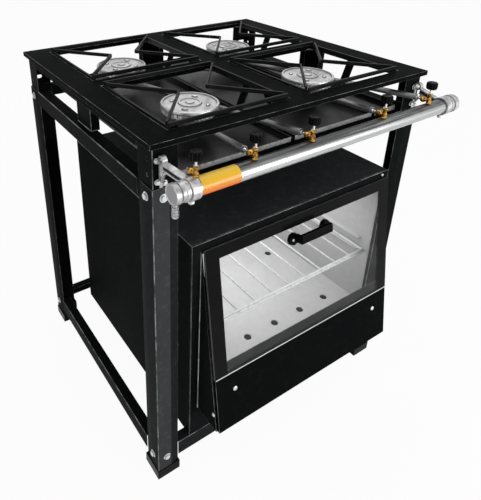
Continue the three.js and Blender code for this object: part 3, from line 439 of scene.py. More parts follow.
def mixing_tube(recipe):
    """Smoked aluminium of the mixing tubes, with bright rub marks; the same dark colour on the caps' steps is
    painted shade.
    """
    smoke = recipe.noise(30, 5, 0.65)
    rubs = recipe.spread(recipe.noise(160, 3, 0.6), 0.58, 0.72)
    recipe.shade(base_color=recipe.tones(rubs * 0.5 + smoke * 0.5, finishes().tube, 0.6, 2.1), metallic=0.8,
                 roughness=recipe.middling(smoke, 0.3, 0.46), normal=recipe.grain(0.00006, 420, 3))


def tray_lip(recipe):
    """Rough, scraped front lip of a tray, lighter than the tray: partly its scraped finish, partly painted
    light on the lit front.
    """
    scraped = recipe.spread(recipe.noise(120, 5, 0.7), 0.42, 0.62)
    recipe.shade(base_color=recipe.tones(scraped, finishes().tray_lip, 1.35, 0.7), metallic=0.6,
                 roughness=recipe.spread(scraped, 0, 1, 0.38, 0.5), normal=recipe.bump(scraped, 0.00006))


def tray_sheet(recipe):
    """Mill-finish aluminium tray: rolling lines, water marks and heat stains; its metal colour is darkened to
    near black as painted shade and painted dark reflection under the hob plate.
    """
    lines = recipe.noise(30, 3, 0.6, (16, 1, 16))
    stains = recipe.spread(recipe.noise(7, 6, 0.65), 0.4, 0.72)
    recipe.shade(base_color=recipe.tones(stains * 0.75 + lines * 0.25, finishes().tray, 0.4, 3.6),
                 metallic=1.0, roughness=recipe.middling(lines, 0.26, 0.38) + stains * 0.12,
                 normal=recipe.bump(lines, 0.00006, recipe.grain(0.0009, 12)))


def turned_brass(recipe):
    """Turned brass with dull finger marks."""
    marks = recipe.noise(160, 4, 0.6)
    dull = recipe.spread(marks, 0.38, 0.6)
    recipe.shade(base_color=recipe.tones(dull, finishes().brass, 1.35, 0.3), metallic=1.0,
                 roughness=recipe.middling(marks, 0.14, 0.3),
                 normal=recipe.grain(0.00003, 500, 2, 0.5, (1, 1, 6)))


def black_plastic(recipe):
    """Moulded black plastic with fine grain."""
    rub = recipe.spread(recipe.noise(90, 4, 0.6), 0.5, 0.75)
    recipe.shade(base_color=recipe.tones(rub, finishes().plastic, 1, 2.2), specular=0.03,
                 roughness=recipe.spread(rub, 0, 1, 0.16, 0.28), normal=recipe.grain(0.00004, 1100))


def plated(recipe, share):
    """Wire with dulled plating."""
    dull = recipe.noise(110, 4, 0.6)
    base = shade_of(finishes().zinc, share)
    recipe.shade(base_color=recipe.tones(dull, base, 1.1, 0.8), metallic=0.25,
                 roughness=recipe.middling(dull, 0.22, 0.38), normal=recipe.grain(0.00002, 800))


def rack_wire(recipe):
    """Bright plated wire of the rack's frame."""
    plated(recipe, 1.15)


def fine_wire(recipe):
    """Slightly duller plated wire across the rack."""
    plated(recipe, 1.05)


def printed_enamel(recipe):
    """Black glass enamel, glossy, with the faintest cloud of wiping marks."""
    wiped = recipe.noise(14, 4, 0.6, (1, 3, 3))
    recipe.shade(base_color=recipe.tones(wiped * 0.5, finishes().enamel, 1, 4), specular=0.04,
                 roughness=recipe.middling(wiped, 0.08, 0.16), normal=recipe.grain(0.00002, 40, 1))


def clear_glass(recipe):
    """The door's window: mostly see-through, with wiping marks."""
    wiped = recipe.noise(11, 5, 0.6, (1, 2, 2))
    recipe.shade(base_color=(0.5, 0.51, 0.51), alpha=recipe.middling(wiped, 0.03, 0.06),
                 roughness=recipe.middling(wiped, 0.03, 0.08), specular=0.5)


def glass_edge(recipe):
    """Ground edge of the glass: grey, with small chips."""
    chips = recipe.noise(260, 3)
    recipe.shade(base_color=recipe.mix(chips, (0.16, 0.17, 0.17), (0.05, 0.055, 0.055)), specular=0.3,
                 roughness=recipe.middling(chips, 0.2, 0.32), normal=recipe.bump(chips, 0.00006))


def pipe_band(recipe):
    """Plain film round the pipe: yellow above, orange below, slightly creased."""
    low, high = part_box("manifold_pipe")
    rise = recipe.spread(recipe.height(), low.z + 0.009, high.z - 0.006)
    creases = recipe.noise(120, 3, 0.6, (6, 1, 1))
    colour = recipe.mix((1 - rise) * 0.9 + creases * 0.1, finishes().band_top, finishes().band_foot)
    recipe.shade(base_color=colour, roughness=recipe.middling(creases, 0.24, 0.36),
                 normal=recipe.bump(creases, 0.0001))


def dark_hollow(recipe):
    """Painted shade: a dark, mottled bar in the hollow between a bracket's arm and rib."""
    shade_mottle = recipe.noise(200, 4)
    recipe.shade(base_color=recipe.mix(shade_mottle, (0.006, 0.006, 0.006), (0.03, 0.028, 0.026)), specular=0.2,
                 roughness=recipe.spread(shade_mottle, 0, 1, 0.6, 0.9), normal=recipe.bump(shade_mottle, 0.0001))


def finish(maker):
    """The finish that a maker function describes, made the first time that a piece asks for it.

    Its name starts with range_, because the frame brings plain materials named after the slots.
    """
    name = "range_" + maker.__name__
    made = bpy.data.materials.get(name)
    if made is None:
        made = bpy.data.materials.new(name)
        maker(Recipe(made))
    return made


# ------------------------------------------------------------------ shapes
def merged(form, *others):
    """Adds other forms to the first one, and frees them."""
    for other in others:
        mesh = bpy.data.meshes.new("part")
        other.to_mesh(mesh)
        other.free()
        form.from_mesh(mesh)
        bpy.data.meshes.remove(mesh)
    return form


def moved(form, matrix):
    """Moves, turns or scales a form."""
    bmesh.ops.transform(form, matrix=matrix, verts=form.verts)
    return form


def shifted(form, x, y, z):
    """Moves a form without turning it."""
    return moved(form, Matrix.Translation((x, y, z)))


def stood(form, point, axis):
    """Stands a form that was made on the origin at a point, its Z axis along another axis."""
    return moved(form, Matrix.Translation(point) @ axis.to_track_quat("Z", "Y").to_matrix().to_4x4())


def around(form):
    """Each vertex of a turned form, its distance from the axis and its angle round it."""
    for vert in form.verts:
        yield vert, vert.co.xy.length, math.atan2(vert.co.y, vert.co.x)


def rounded(form, radius, segments=2, angle=SHARP):
    """Bevels the edges that turn more than an angle."""
    edges = [e for e in form.edges if len(e.link_faces) == 2 and e.calc_face_angle() > angle]
    bmesh.ops.bevel(form, geom=edges, offset=radius, offset_type="OFFSET", affect="EDGES",
                    segments=segments, profile=0.5, material=-1, clamp_overlap=True)
    return form


def turned(profile, steps, radius=0.0):
    """A solid turned about the Z axis from [radius, height] pairs in mm, with rounded edges."""
    form = bmesh.new()
    points = [form.verts.new((r * MM, 0, z * MM)) for r, z in profile]
    line = [form.edges.new(pair) for pair in zip(points, points[1:])]
    bmesh.ops.spin(form, geom=points + line, cent=(0, 0, 0), axis=(0, 0, 1), dvec=(0, 0, 0),
                   angle=2 * math.pi, steps=steps, use_merge=True)
    bmesh.ops.remove_doubles(form, verts=form.verts, dist=WELD / 10)
    bmesh.ops.recalc_face_normals(form, faces=form.faces)
    return rounded(form, radius) if radius else form


def block(low, high, radius=0.0):
    """A box from its lowest to its highest corner, with rounded edges."""
    form = bmesh.new()
    bmesh.ops.create_cube(form, size=1.0)
    low, high = Vector(low), Vector(high)
    moved(form, Matrix.Translation((low + high) / 2) @ Matrix.Diagonal((*(high - low), 1.0)))
    return rounded(form, radius) if radius else form


def drum(radius, depth, sides, top=None, bevel=0.0):
    """A prism or cone standing on the origin, with its own radius at the top if there is one."""
    form = bmesh.new()
    bmesh.ops.create_cone(form, cap_ends=True, cap_tris=False, segments=sides, radius1=radius,
                          radius2=radius if top is None else top, depth=depth)
    shifted(form, 0, 0, depth / 2)
    return rounded(form, bevel) if bevel else form


def wire(start, end, radius, sides=14):
    """A round wire between two points."""
    along = Vector(end) - Vector(start)
    return stood(drum(radius, along.length, sides), Vector(start), along)


def hex_bolt(radius, height, washer):
    """A bolt head on its washer, standing on the origin."""
    thickness = 1.2 * MM
    crown_foot = height - 0.1 * MM
    wide = radius / MM
    head = shifted(drum(radius, height - thickness, 6, radius * 0.98, 0.4 * MM), 0, 0, thickness)
    crown = shifted(turned([[0, 0], [wide * 0.8, 0], [wide * 0.72, 0.7], [0, 0.9]], 24), 0, 0, crown_foot)
    return merged(drum(washer, thickness, 32, bevel=0.3 * MM), head, crown)


def round_screw(radius):
    """A round screw head with a round socket, standing on the origin."""
    wide = radius / MM
    socket = wide * 0.34
    return turned([[0, 0], [wide, 0], [wide, 0.9], [wide * 0.8, 2.2], [wide * 0.5, 2.8], [socket, 2.8],
                   [socket, 1.4], [0, 1.4]], 32, 0.2 * MM)


def mirrored(place):
    """A place and its mirror image in the YZ plane, left first."""
    return Vector((-place.x, place.y, place.z)), place


def coloured(form, index):
    """Gives all of a form's faces one of the piece's finishes."""
    for face in form.faces:
        face.material_index = index
    return form


def piece(name, form, body, makers, nodes=()):
    """Makes a form a finished piece that rides on a body and stands for CAD nodes."""
    for edge in form.edges:
        edge.smooth = len(edge.link_faces) == 2 and edge.calc_face_angle() < SHARP
    for face in form.faces:
        face.smooth = True
    mesh = bpy.data.meshes.new(name)
    form.to_mesh(mesh)
    form.free()
    for maker in makers:
        mesh.materials.append(finish(maker))
    made = bpy.data.objects.new(name, mesh)
    bpy.context.scene.collection.objects.link(made)
    flat = made.modifiers.new("even shading", "WEIGHTED_NORMAL")
    flat.keep_sharp = True
    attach(made, body)
    if nodes:
        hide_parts(*nodes)
    return made


def fastening(name, form, body):
    """Makes a form a piece of bright zinc-plated steel."""
    piece(name, form, body, (bolt_zinc,))


def from_node(node):
    """A merged copy of a CAD node."""
    form = bmesh.new()
    form.from_mesh(frame["nodes"][node].data)
    bmesh.ops.remove_doubles(form, verts=form.verts, dist=WELD)
    return coloured(form, 0)


def folded_copy(node, makers, choose=None, rim=None, wide=5 * MM):
    """A CAD sheet part with round folds and slightly round cut edges.

    choose picks a face's finish, rim is the finish of the rounded edges, and an edge is a fold
    where it and both its faces are wider than wide.
    """
    form = from_node(node)
    if choose:
        for face in form.faces:
            face.material_index = choose(face)
    fold, cut = sizes().fold_radius, sizes().cut_radius
    layers = form.edges.layers.float
    weights = layers.get("bevel_weight_edge") or layers.new("bevel_weight_edge")
    for edge in form.edges:
        if len(edge.link_faces) == 2 and edge.calc_face_angle() > FLAT:
            narrow = min(face.calc_area() / edge.calc_length() for face in edge.link_faces)
            edge[weights] = 1.0 if narrow > wide and edge.calc_length() > wide else cut / fold
    makers = (*makers, rim) if rim else makers
    made = piece(node + "_finished", form, frame["nodes"][node]["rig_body"], makers, [node])
    bevel = made.modifiers.new("round folds", "BEVEL")
    bevel.limit_method = "WEIGHT"
    bevel.width = fold
    bevel.segments = 3
    bevel.use_clamp_overlap = False
    bevel.material = len(makers) - 1 if rim else -1
    made.modifiers.move(1, 0)
    return made


def middle(node):
    """The middle of a CAD node's box."""
    low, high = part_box(node)
    return (low + high) / 2


# ------------------------------------------------------------------ operators
class RANGE_OT_frame(bpy.types.Operator):
    """Hob plate, posts, legs and rails in black paint, with the bright rests under the grates"""

    bl_idname = "range.frame"
    bl_label = "Frame"

    REST_TOP = 9 * MM             # the rests' upper faces lie between these two depths
    REST_FOOT = 11.5 * MM         # below the plate's top
    UP = 0.9                      # and a face above this Z looks up
    TO_FRONT = -0.995             # a face below this Y looks straight to the front

    def execute(self, context):
        """Makes the frame."""
        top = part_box("hob_plate")[1].z

        def rest(face):
            """The grates' rests are bare steel on top."""
            depth = top - face.calc_center_median().z
            return int(face.normal.z > self.UP and self.REST_TOP < depth < self.REST_FOOT)

        folded_copy("hob_plate", (plate_paint, bolt_zinc), rest, paint_edge)
        sheet = [f"{kind}_{corner}" for kind in ("post", "leg") for corner in CORNERS]
        sheet += [f"{kind}_{side}" for kind in ("hob_rail", "base_rail")
                  for side in ("back", "left", "right")]
        sheet.remove("leg_front_left")                    # its front and sides get painted light
        for node in sheet:
            folded_copy(node, (frame_paint,), rim=paint_edge)
        # the front left leg's front gets strong painted light, its sides painted light
        folded_copy("leg_front_left", (dusty_paint, settled_dust),
                    lambda face: int(face.normal.y < self.TO_FRONT), paint_edge)
        folded_copy("hob_rail_front", (front_paint,), rim=paint_edge)
        # the front base rail gets painted light
        folded_copy("base_rail_front", (dusty_paint,), rim=paint_edge)
        return {"FINISHED"}


class RANGE_OT_feet(bpy.types.Operator):
    """Moulded plastic feet"""

    bl_idname = "range.feet"
    bl_label = "Feet"

    def execute(self, context):
        """Makes the four feet."""
        for corner in CORNERS:
            folded_copy(f"foot_{corner}", (black_plastic,), wide=10 * MM)
        return {"FINISHED"}


class RANGE_OT_leg_bolts(bpy.types.Operator):
    """Bright hex bolts and washers at the upper and lower end of each leg"""

    bl_idname = "range.leg_bolts"
    bl_label = "Leg bolts"

    INSET = 22 * MM               # from the leg's corner
    DROP = 20 * MM                # upper bolts below the leg's top
    HIGH = 62 * MM                # lower bolts above the ground

    def execute(self, context):
        """Makes the bolts of each leg as one piece."""
        size = sizes()
        for corner, (sx, sy) in CORNERS.items():
            low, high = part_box(f"leg_{corner}")
            x = (high.x if sx > 0 else low.x) - sx * PLAIN_HEAD
            y = (high.y if sy > 0 else low.y) - sy * PLAIN_HEAD
            bolts = bmesh.new()
            for z in (high.z - self.DROP, self.HIGH):
                for point, axis in ((Vector((x - sx * self.INSET, y, z)), Y_AXIS * sy),
                                    (Vector((x, y - sy * self.INSET, z)), X_AXIS * sx)):
                    bolt = hex_bolt(size.bolt_radius, size.bolt_height, size.washer_radius)
                    merged(bolts, stood(bolt, point, axis))
            fastening(f"leg_bolts_{corner}", bolts, "stand")
        return {"FINISHED"}


class RANGE_OT_grates(bpy.types.Operator):
    """Grates with slightly rounded bars"""

    bl_idname = "range.grates"
    bl_label = "Grates"

    BAR_EDGE = 0.7 * MM

    def execute(self, context):
        """Makes the four grates."""
        for corner in CORNERS:
            node = f"grate_{corner}"
            form = rounded(from_node(node), self.BAR_EDGE)
            piece(f"{node}_bars", form, node, (black_iron,), [node])
        return {"FINISHED"}


class RANGE_OT_trays(bpy.types.Operator):
    """Drip trays"""

    bl_idname = "range.trays"
    bl_label = "Drip trays"

    LIP = 1 * MM                  # the front lip's thickness

    def execute(self, context):
        """Makes the three trays."""
        for place in ("left", "middle", "right"):
            node = f"drip_tray_{place}"
            low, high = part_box(node)

            def front(face):
                """The rough front lip: its front, and its top edge."""
                centre = face.calc_center_median()
                top_edge = centre.y < low.y + 2 * self.LIP and centre.z > high.z - self.LIP
                return int(centre.y < low.y + self.LIP or top_edge)

            # the front lip gets the lighter lip colour, partly painted light
            folded_copy(node, (tray_sheet, tray_lip), front)
        return {"FINISHED"}


class Pipe:
    """Places along the gas pipe, read from the frame."""

    BELOW_TOP = 19.5 * MM         # the pipe's axis below the inlet fitting's top

    def __init__(self):
        self.low, self.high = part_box("manifold_pipe")
        self.inlet_low, inlet_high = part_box("inlet_fitting")
        self.inlet_right = inlet_high.x
        self.y = middle("knob_oven").y
        self.z = inlet_high.z - self.BELOW_TOP

    def along(self, form, x):
        """Lays a turned form on the pipe's axis, its Z axis along +X from a place."""
        return moved(form, Matrix.Translation((x, self.y, self.z)) @ Matrix.Rotation(math.pi / 2, 4, "Y"))


class RANGE_OT_gas_pipe(bpy.types.Operator):
    """Bare gas pipe with its stepped end cap and the plain band round it"""

    bl_idname = "range.gas_pipe"
    bl_label = "Gas pipe"

    RADIUS = 16                   # these six in mm, as turned() takes them
    CHAMFER = 1
    FILM = 0.25
    UNDER_FILM = 0.4              # the film's inner side lies so deep in the pipe
    CAP = 27
    IN_CAP = 2                    # the pipe's end reaches so far into the cap
    CAP_SHAPE = [[0, 0.5], [16.2, 0.5], [18.5, 1.2], [18.5, 8], [16.2, 8.4], [16.2, 10.4], [19.6, 11],
                 [19.6, 19.4], [17, 20], [17, 21.6], [18.8, 22.2], [18.6, 26], [16, 27], [14.6, 27],
                 [13.6, 24.5], [6, 24], [0, 24]]
    BAND_START = 20.6 * MM        # from the inlet fitting's right end

    def execute(self, context):
        """Makes the pipe, its cap and the band."""
        pipe = Pipe()
        long = (pipe.high.x - pipe.low.x) / MM - self.CAP + self.IN_CAP
        body = turned([[0, 0], [self.RADIUS - self.CHAMFER, 0], [self.RADIUS, self.CHAMFER],
                       [self.RADIUS, long], [0, long]], 64)
        piece("gas_pipe", pipe.along(body, pipe.low.x), "stand", (bare_zinc,),
              ["manifold_pipe"])
        cap = pipe.along(turned(self.CAP_SHAPE, 64, 0.25 * MM), pipe.high.x - self.CAP * MM)
        piece("pipe_end_cap", cap, "stand", (cast_zinc,))
        wide = sizes().band_length / MM
        inner, outer = self.RADIUS - self.UNDER_FILM, self.RADIUS + self.FILM
        band = turned([[inner, 0], [outer, 0], [outer, wide], [inner, wide], [inner, 0]], 64)
        band = pipe.along(band, pipe.inlet_right + self.BAND_START)
        piece("pipe_band", band, "stand", (pipe_band,))
        return {"FINISHED"}


class RANGE_OT_inlet(bpy.types.Operator):
    """Cast inlet fitting at the pipe's left end, with its ribbed hose barb"""

    bl_idname = "range.inlet"
    bl_label = "Inlet fitting"

    SHELL = [[0, 1], [15, 1], [16, 0], [17.4, 0], [18.4, 1], [18.4, 9.6], [17.6, 10.4], [15.4, 10.8],
             [15.4, 12.2], [17.4, 13], [17.4, 19.5], [18.6, 20.5], [18.6, 23.5], [17.4, 24.2],
             [16.4, 25.2]]        # and on to the fitting's right end
    BORE = 16.4
    BARB_FROM_LEFT = 8 * MM
    BARB_TOP = 14 * MM            # below the pipe's axis
    RIBS = 4
    PITCH = 5.4
    RIB = ((6.3, 3.4), (6.3, 4.2), (4.2, 4.9))         # radius and height of one rib's corners
    COLLAR = ((4.2, -4), (6.6, -2.6), (6.6, 0), (0, 0))         # the same, from the barb's top
    TO_LEFT = -0.95               # a face below this X is the fitting's flat end

    def execute(self, context):
        """Makes the fitting and its barb."""
        pipe = Pipe()
        long = (pipe.inlet_right - pipe.inlet_low.x) / MM
        shell = turned(self.SHELL + [[self.BORE, long], [0, long]], 64, 0.3 * MM)
        pipe.along(shell, pipe.inlet_low.x)
        shell.normal_update()
        for face in shell.faces:
            # painted shade: the fitting's flat end facing left takes the darker end finish
            face.material_index = int(face.normal.x < self.TO_LEFT)
        drop = (pipe.z - self.BARB_TOP - pipe.inlet_low.z) / MM
        profile = [[0, 0], [4.6, 0]]
        profile += [[r, i * self.PITCH + z] for i in range(self.RIBS) for r, z in self.RIB]
        profile += [[r, drop + z] for r, z in self.COLLAR]
        barb = shifted(turned(profile, 32, 0.15 * MM), pipe.inlet_low.x + self.BARB_FROM_LEFT, pipe.y,
                       pipe.inlet_low.z)
        piece("inlet_fitting_cast", merged(shell, barb), "stand", (cast_zinc, cast_end),
              ["inlet_fitting"])
        return {"FINISHED"}


class RANGE_OT_brackets(bpy.types.Operator):
    """Cast brackets: strap on the post, loop, arm and lower rib, clamp ring, boss, ball bolt and screws"""

    bl_idname = "range.brackets"
    bl_label = "Pipe brackets"

    # from the top of the strap's back, at its middle
    INSET = 17 * MM               # that middle inside the leg's outer face
    STRAP = (mm(-3.5, -3.6, -64), mm(3.5, 0, -8))
    LOOP_MIDDLE = mm(0, -8.8, -9)
    ARM_START = mm(0, -15, -13)
    STAY_START = mm(0, -3.6, -52)
    BOLTS = (mm(-7, -1, -12), mm(-6.5, -1, -52), mm(7.5, -1, -57))

    # from the pipe's axis, in the ring's middle
    RING_ASIDE = {"left": 16 * MM, "right": 4 * MM}         # that middle to the right of the strap's
    RING_HALF = 8.5 * MM
    ARM_END = mm(0, 14, 11)
    BOSS_TOP = mm(0, 0, -18.5)
    BALL_TOP = mm(0, 0, -20)

    LOWER = mm(-4, 0, -10)        # from the arm to the rib below it
    STAY_END = mm(0, -6, -4)      # from the rib's start
    RING = [[16.3, 0], [19.2, 0], [19.8, 0.7], [19.8, 16.3], [19.2, 17], [16.3, 17], [16.3, 0]]
    LOOP = [[4.6, -4.5], [8.6, -4.5], [8.6, 4.5], [4.6, 4.5], [4.6, -4.5]]
    BOSS = [[0, 0], [6, 0], [6, 4], [0, 4]]
    BALL = [[0, 0], [2.6, 0], [2.6, 1.6], [4.6, 2.2], [5.8, 4.2], [5.8, 5.8], [4.4, 8], [2, 8.8], [0, 8.9]]

    def execute(self, context):
        """Makes both brackets."""
        pipe = Pipe()
        for side, sign in (("left", -1), ("right", 1)):
            node = f"bracket_{side}"
            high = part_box(node)[1]
            leg_low, leg_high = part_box(f"leg_front_{side}")
            outer = leg_high.x - PLAIN_HEAD if sign > 0 else leg_low.x + PLAIN_HEAD
            top = Vector((outer - sign * self.INSET, high.y, high.z))
            axis = Vector((top.x + self.RING_ASIDE[side], pipe.y, pipe.z))
            start, end = top + self.ARM_START, axis + self.ARM_END
            cast = pipe.along(turned(self.RING, 64, 0.2 * MM), axis.x - self.RING_HALF)
            merged(cast, block(top + self.STRAP[0], top + self.STRAP[1], 1 * MM),
                   stood(turned(self.LOOP, 40, 0.5 * MM), top + self.LOOP_MIDDLE, X_AXIS),
                   self.bar(start, end, 12 * MM, 4 * MM),
                   self.bar(start + self.LOWER, end + self.LOWER, 4 * MM, 3.5 * MM),
                   self.bar(top + self.STAY_START, start + self.LOWER + self.STAY_END, 5 * MM, 4 * MM),
                   # a dark bar between the arm and the rib is painted shade in the hollow
                   coloured(self.bar(start + self.LOWER / 2, end + self.LOWER / 2, 2 * MM, 8 * MM), 1),
                   stood(turned(self.BOSS, 24, 0.6 * MM), axis + self.BOSS_TOP, -Z_AXIS))
            piece(f"{node}_cast", cast, "stand", (cast_zinc, dark_hollow), [node])
            bolts = stood(turned(self.BALL, 32, 0.2 * MM), axis + self.BALL_TOP, -Z_AXIS)
            for place in self.BOLTS:
                merged(bolts, stood(hex_bolt(4.6 * MM, 4.6 * MM, 5.6 * MM), top + place, -Y_AXIS))
            fastening(f"bracket_bolts_{side}", bolts, "stand")
        return {"FINISHED"}

    def bar(self, start, end, width, thick):
        """A flat bar between two points, its width across."""
        along = end - start
        made = block((-width / 2, -thick / 2, 0), (width / 2, thick / 2, along.length),
                     min(width, thick) / 4)
        along.normalize()
        across = X_AXIS.cross(along).normalized()
        turn = Matrix((across.cross(along), across, along)).transposed().to_4x4()
        return moved(made, Matrix.Translation(start) @ turn)


class RANGE_OT_taps(bpy.types.Operator):
    """Brass taps with steel stems and injectors"""

    bl_idname = "range.taps"
    bl_label = "Taps"

    BARREL = [[0, 0], [5.4, 0], [5.4, 1.6], [4.6, 2.4], [4.6, 7.4], [5, 8], [5, 9.6], [3.7, 11.4],
              [3.7, 15.4], [5.9, 18.4], [5.9, 20.4], [5.2, 21], [4.4, 22], [0, 22]]
    NUT_FOOT = 3.2 * MM
    BRANCH = [[0, 0], [3.2, 0], [3.2, 8.6], [5.4, 9.6], [6.3, 11.4], [6.3, 15.4], [5.4, 17.2],
              [3.4, 18.4], [2.8, 18.4], [2.8, 20], [0, 20]]
    BRANCH_HIGH = mm(0, 0, 6)
    INJECTOR = [[0, 0], [2.6, 0], [2.6, 2.4], [1.8, 6], [0.8, 6], [0.8, 4], [0, 4]]
    INJECTOR_FOOT = 20 * MM       # along the branch
    STEM = [[0, 21], [3, 21], [3, 22.6], [2.1, 23.6]]         # and on to the tap's top
    STEM_RADIUS = 2.1

    def execute(self, context):
        """Makes one tap on the pipe for each burner and one for the oven."""
        for name in TAPS:
            node = f"valve_{name}"
            low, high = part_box(node)
            long = (high.z - low.z) / MM
            form = turned(self.BARREL, 40, 0.25 * MM)
            nut = shifted(drum(5.7 * MM, 3.4 * MM, 6, bevel=0.3 * MM), 0, 0, self.NUT_FOOT)
            injector = shifted(turned(self.INJECTOR, 20, 0.1 * MM), 0, 0, self.INJECTOR_FOOT)
            branch = merged(turned(self.BRANCH, 28, 0.2 * MM), coloured(injector, 1))
            stem = turned(self.STEM + [[self.STEM_RADIUS, long], [0, long]], 24, 0.1 * MM)
            merged(form, nut, stood(branch, self.BRANCH_HIGH, Y_AXIS), coloured(stem, 1))
            axis = middle(f"knob_{name}")
            shifted(form, axis.x, axis.y, low.z)
            piece(f"tap_{name}", form, "stand", (turned_brass, bolt_zinc), [node])
        return {"FINISHED"}


class RANGE_OT_knobs(bpy.types.Operator):
    """Fluted plastic knobs"""

    bl_idname = "range.knobs"
    bl_label = "Knobs"

    BODY = [[0, 9], [2.9, 9], [2.9, 0], [9.4, 0], [10.4, 0.7], [11, 3.4], [11.2, 6], [11.2, 11.8],
            [10.6, 13.6], [9.2, 14.5], [7.4, 14.5], [6.6, 13.8], [0, 13.8]]
    GRIP_RADIUS = 8.8 * MM        # the flutes start outside this radius
    GRIP_FOOT = 0.5 * MM          # and above this height
    SHARPNESS = 0.7               # below 1, the ribs between the flutes are narrow
    POINTER = (mm(-0.7, 2, 13.6), mm(0.7, 9.4, 14.5))

    def execute(self, context):
        """Makes one knob for each tap."""
        size = sizes()
        for name in TAPS:
            node = f"knob_{name}"
            form = turned(self.BODY, 96)
            for vert, reach, turn in around(form):
                if reach > self.GRIP_RADIUS and vert.co.z > self.GRIP_FOOT:
                    wave = 0.5 - 0.5 * math.cos(turn * size.knob_flutes)
                    vert.co.xy *= 1 - size.knob_flute * wave ** self.SHARPNESS / reach
            merged(form, block(*self.POINTER, 0.25 * MM))
            centre = middle(node)
            shifted(form, centre.x, centre.y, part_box(node)[0].z)
            piece(f"{node}_fluted", form, node, (black_plastic,), [node])
        return {"FINISHED"}


class RANGE_OT_burners(bpy.types.Operator):
    """Cast burner bowls with their mixing tubes, and the caps on them"""

    bl_idname = "range.burners"
    bl_label = "Burners"

    BOWL = [[0, 0], [26, 0], [29, 1.5], [44, 14], [49, 21], [50.5, 27], [57.5, 30.5], [58.5, 32], [58.5, 40],
            [52, 40], [31, 40], [31, 34], [0, 34]]
    SLOT_RADIUS = 58 * MM         # the gas slots are cut outside this radius
    SLOT_FOOT = 31 * MM           # and above this height
    SLOT_DEPTH = 2.5 * MM
    SLOT_COSINE = -0.4            # of the angle between slots; a lower one makes them narrower
    TUBE = [[0, 17], [3.8, 17], [5.6, 0], [6.6, 0], [7.1, 0.8], [7.1, 3], [6.5, 4]]         # and on
    TUBE_RADIUS = 6.5
    TUBE_STOP = 26                # the tube's end before the bowl's axis
    MOUTH = mm(0, 29, 6)          # from the tap's axis at its foot
    TUBE_RISE = 10 * MM           # the tube's end above the bowl's foot
    JET = [[0, -1], [3.2, -1], [3.6, 0], [3.6, 16], [0, 16]]
    CAP = [[0, -5], [30, -5], [30, 0], [55, 0], [59.2, 0.6], [60, 2], [60, 6.2], [59, 7.8], [57.6, 8.3],
           [54.6, 8.3], [53.4, 5.6], [25, 5.6], [23.6, 8], [22.4, 8.6], [19.6, 8.6], [18.6, 7],
           [9.6, 7], [8.8, 9], [7.4, 9.5], [0, 9.5]]
    CAP_PLUG = 5 * MM             # how far the cap's plug reaches below its rim
    OVALS = 4
    OVAL = (4.8 * MM, 7.4 * MM, 3.4 * MM, 1.0)         # an oval's half sizes
    OVAL_PLACE = mm(38, 0, 5.6)
    OVAL_TURN = math.radians(41)
    STEPS = 54.8 * MM             # the cap's steep faces inside this radius get the dark tube finish as painted shade
    STEEP = 0.85                  # and a face below this Z is steep

    def execute(self, context):
        """Makes the four burners."""
        for corner in CORNERS:
            self.body(corner)
            self.cap(corner)
        return {"FINISHED"}

    def body(self, corner):
        """Bowl with gas slots, and the tube that feeds it."""
        node = f"burner_body_{corner}"
        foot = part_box(node)[0].z
        centre = middle(f"burner_cap_{corner}")
        bowl = turned(self.BOWL, 160)
        ports = sizes().burner_ports
        for vert, reach, turn in around(bowl):
            slot = math.cos(turn * ports) < self.SLOT_COSINE
            if slot and reach > self.SLOT_RADIUS and vert.co.z > self.SLOT_FOOT:
                vert.co.xy *= 1 - self.SLOT_DEPTH / reach
        shifted(bowl, centre.x, centre.y, foot)
        tap = middle(f"knob_{corner}")
        mouth = Vector((tap.x, tap.y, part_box(f"valve_{corner}")[0].z)) + self.MOUTH
        along = Vector((centre.x, centre.y, foot + self.TUBE_RISE)) - mouth
        long = along.length / MM - self.TUBE_STOP
        tube = turned(self.TUBE + [[self.TUBE_RADIUS, long], [0, long]], 36, 0.2 * MM)
        merged(coloured(tube, 1), coloured(turned(self.JET, 24, 0.3 * MM), 2))
        piece(f"burner_{corner}_casting", merged(bowl, stood(tube, mouth, along)), "stand",
              (cast_aluminium, mixing_tube, bolt_zinc), [node])

    def cap(self, corner):
        """Stepped cap with four ovals round its hub."""
        node = f"burner_cap_{corner}"
        centre = middle(node)
        form = turned(self.CAP, 120, 0.25 * MM)
        for i in range(self.OVALS):
            turn = Matrix.Rotation(self.OVAL_TURN + i * 2 * math.pi / self.OVALS, 4, "Z")
            oval = bmesh.new()
            bmesh.ops.create_uvsphere(oval, u_segments=24, v_segments=12, radius=1.0)
            place = turn @ Matrix.Translation(self.OVAL_PLACE) @ Matrix.Diagonal(self.OVAL)
            merged(form, moved(oval, place))
        form.normal_update()
        # painted shade: the steep faces of the cap's steps take the dark tube finish
        for face in form.faces:
            inside = face.calc_center_median().to_2d().length < self.STEPS
            face.material_index = int(inside and face.normal.z < self.STEEP)
        shifted(form, centre.x, centre.y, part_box(node)[0].z + self.CAP_PLUG)
        piece(f"{node}_casting", form, node, (cast_aluminium, mixing_tube), [node])


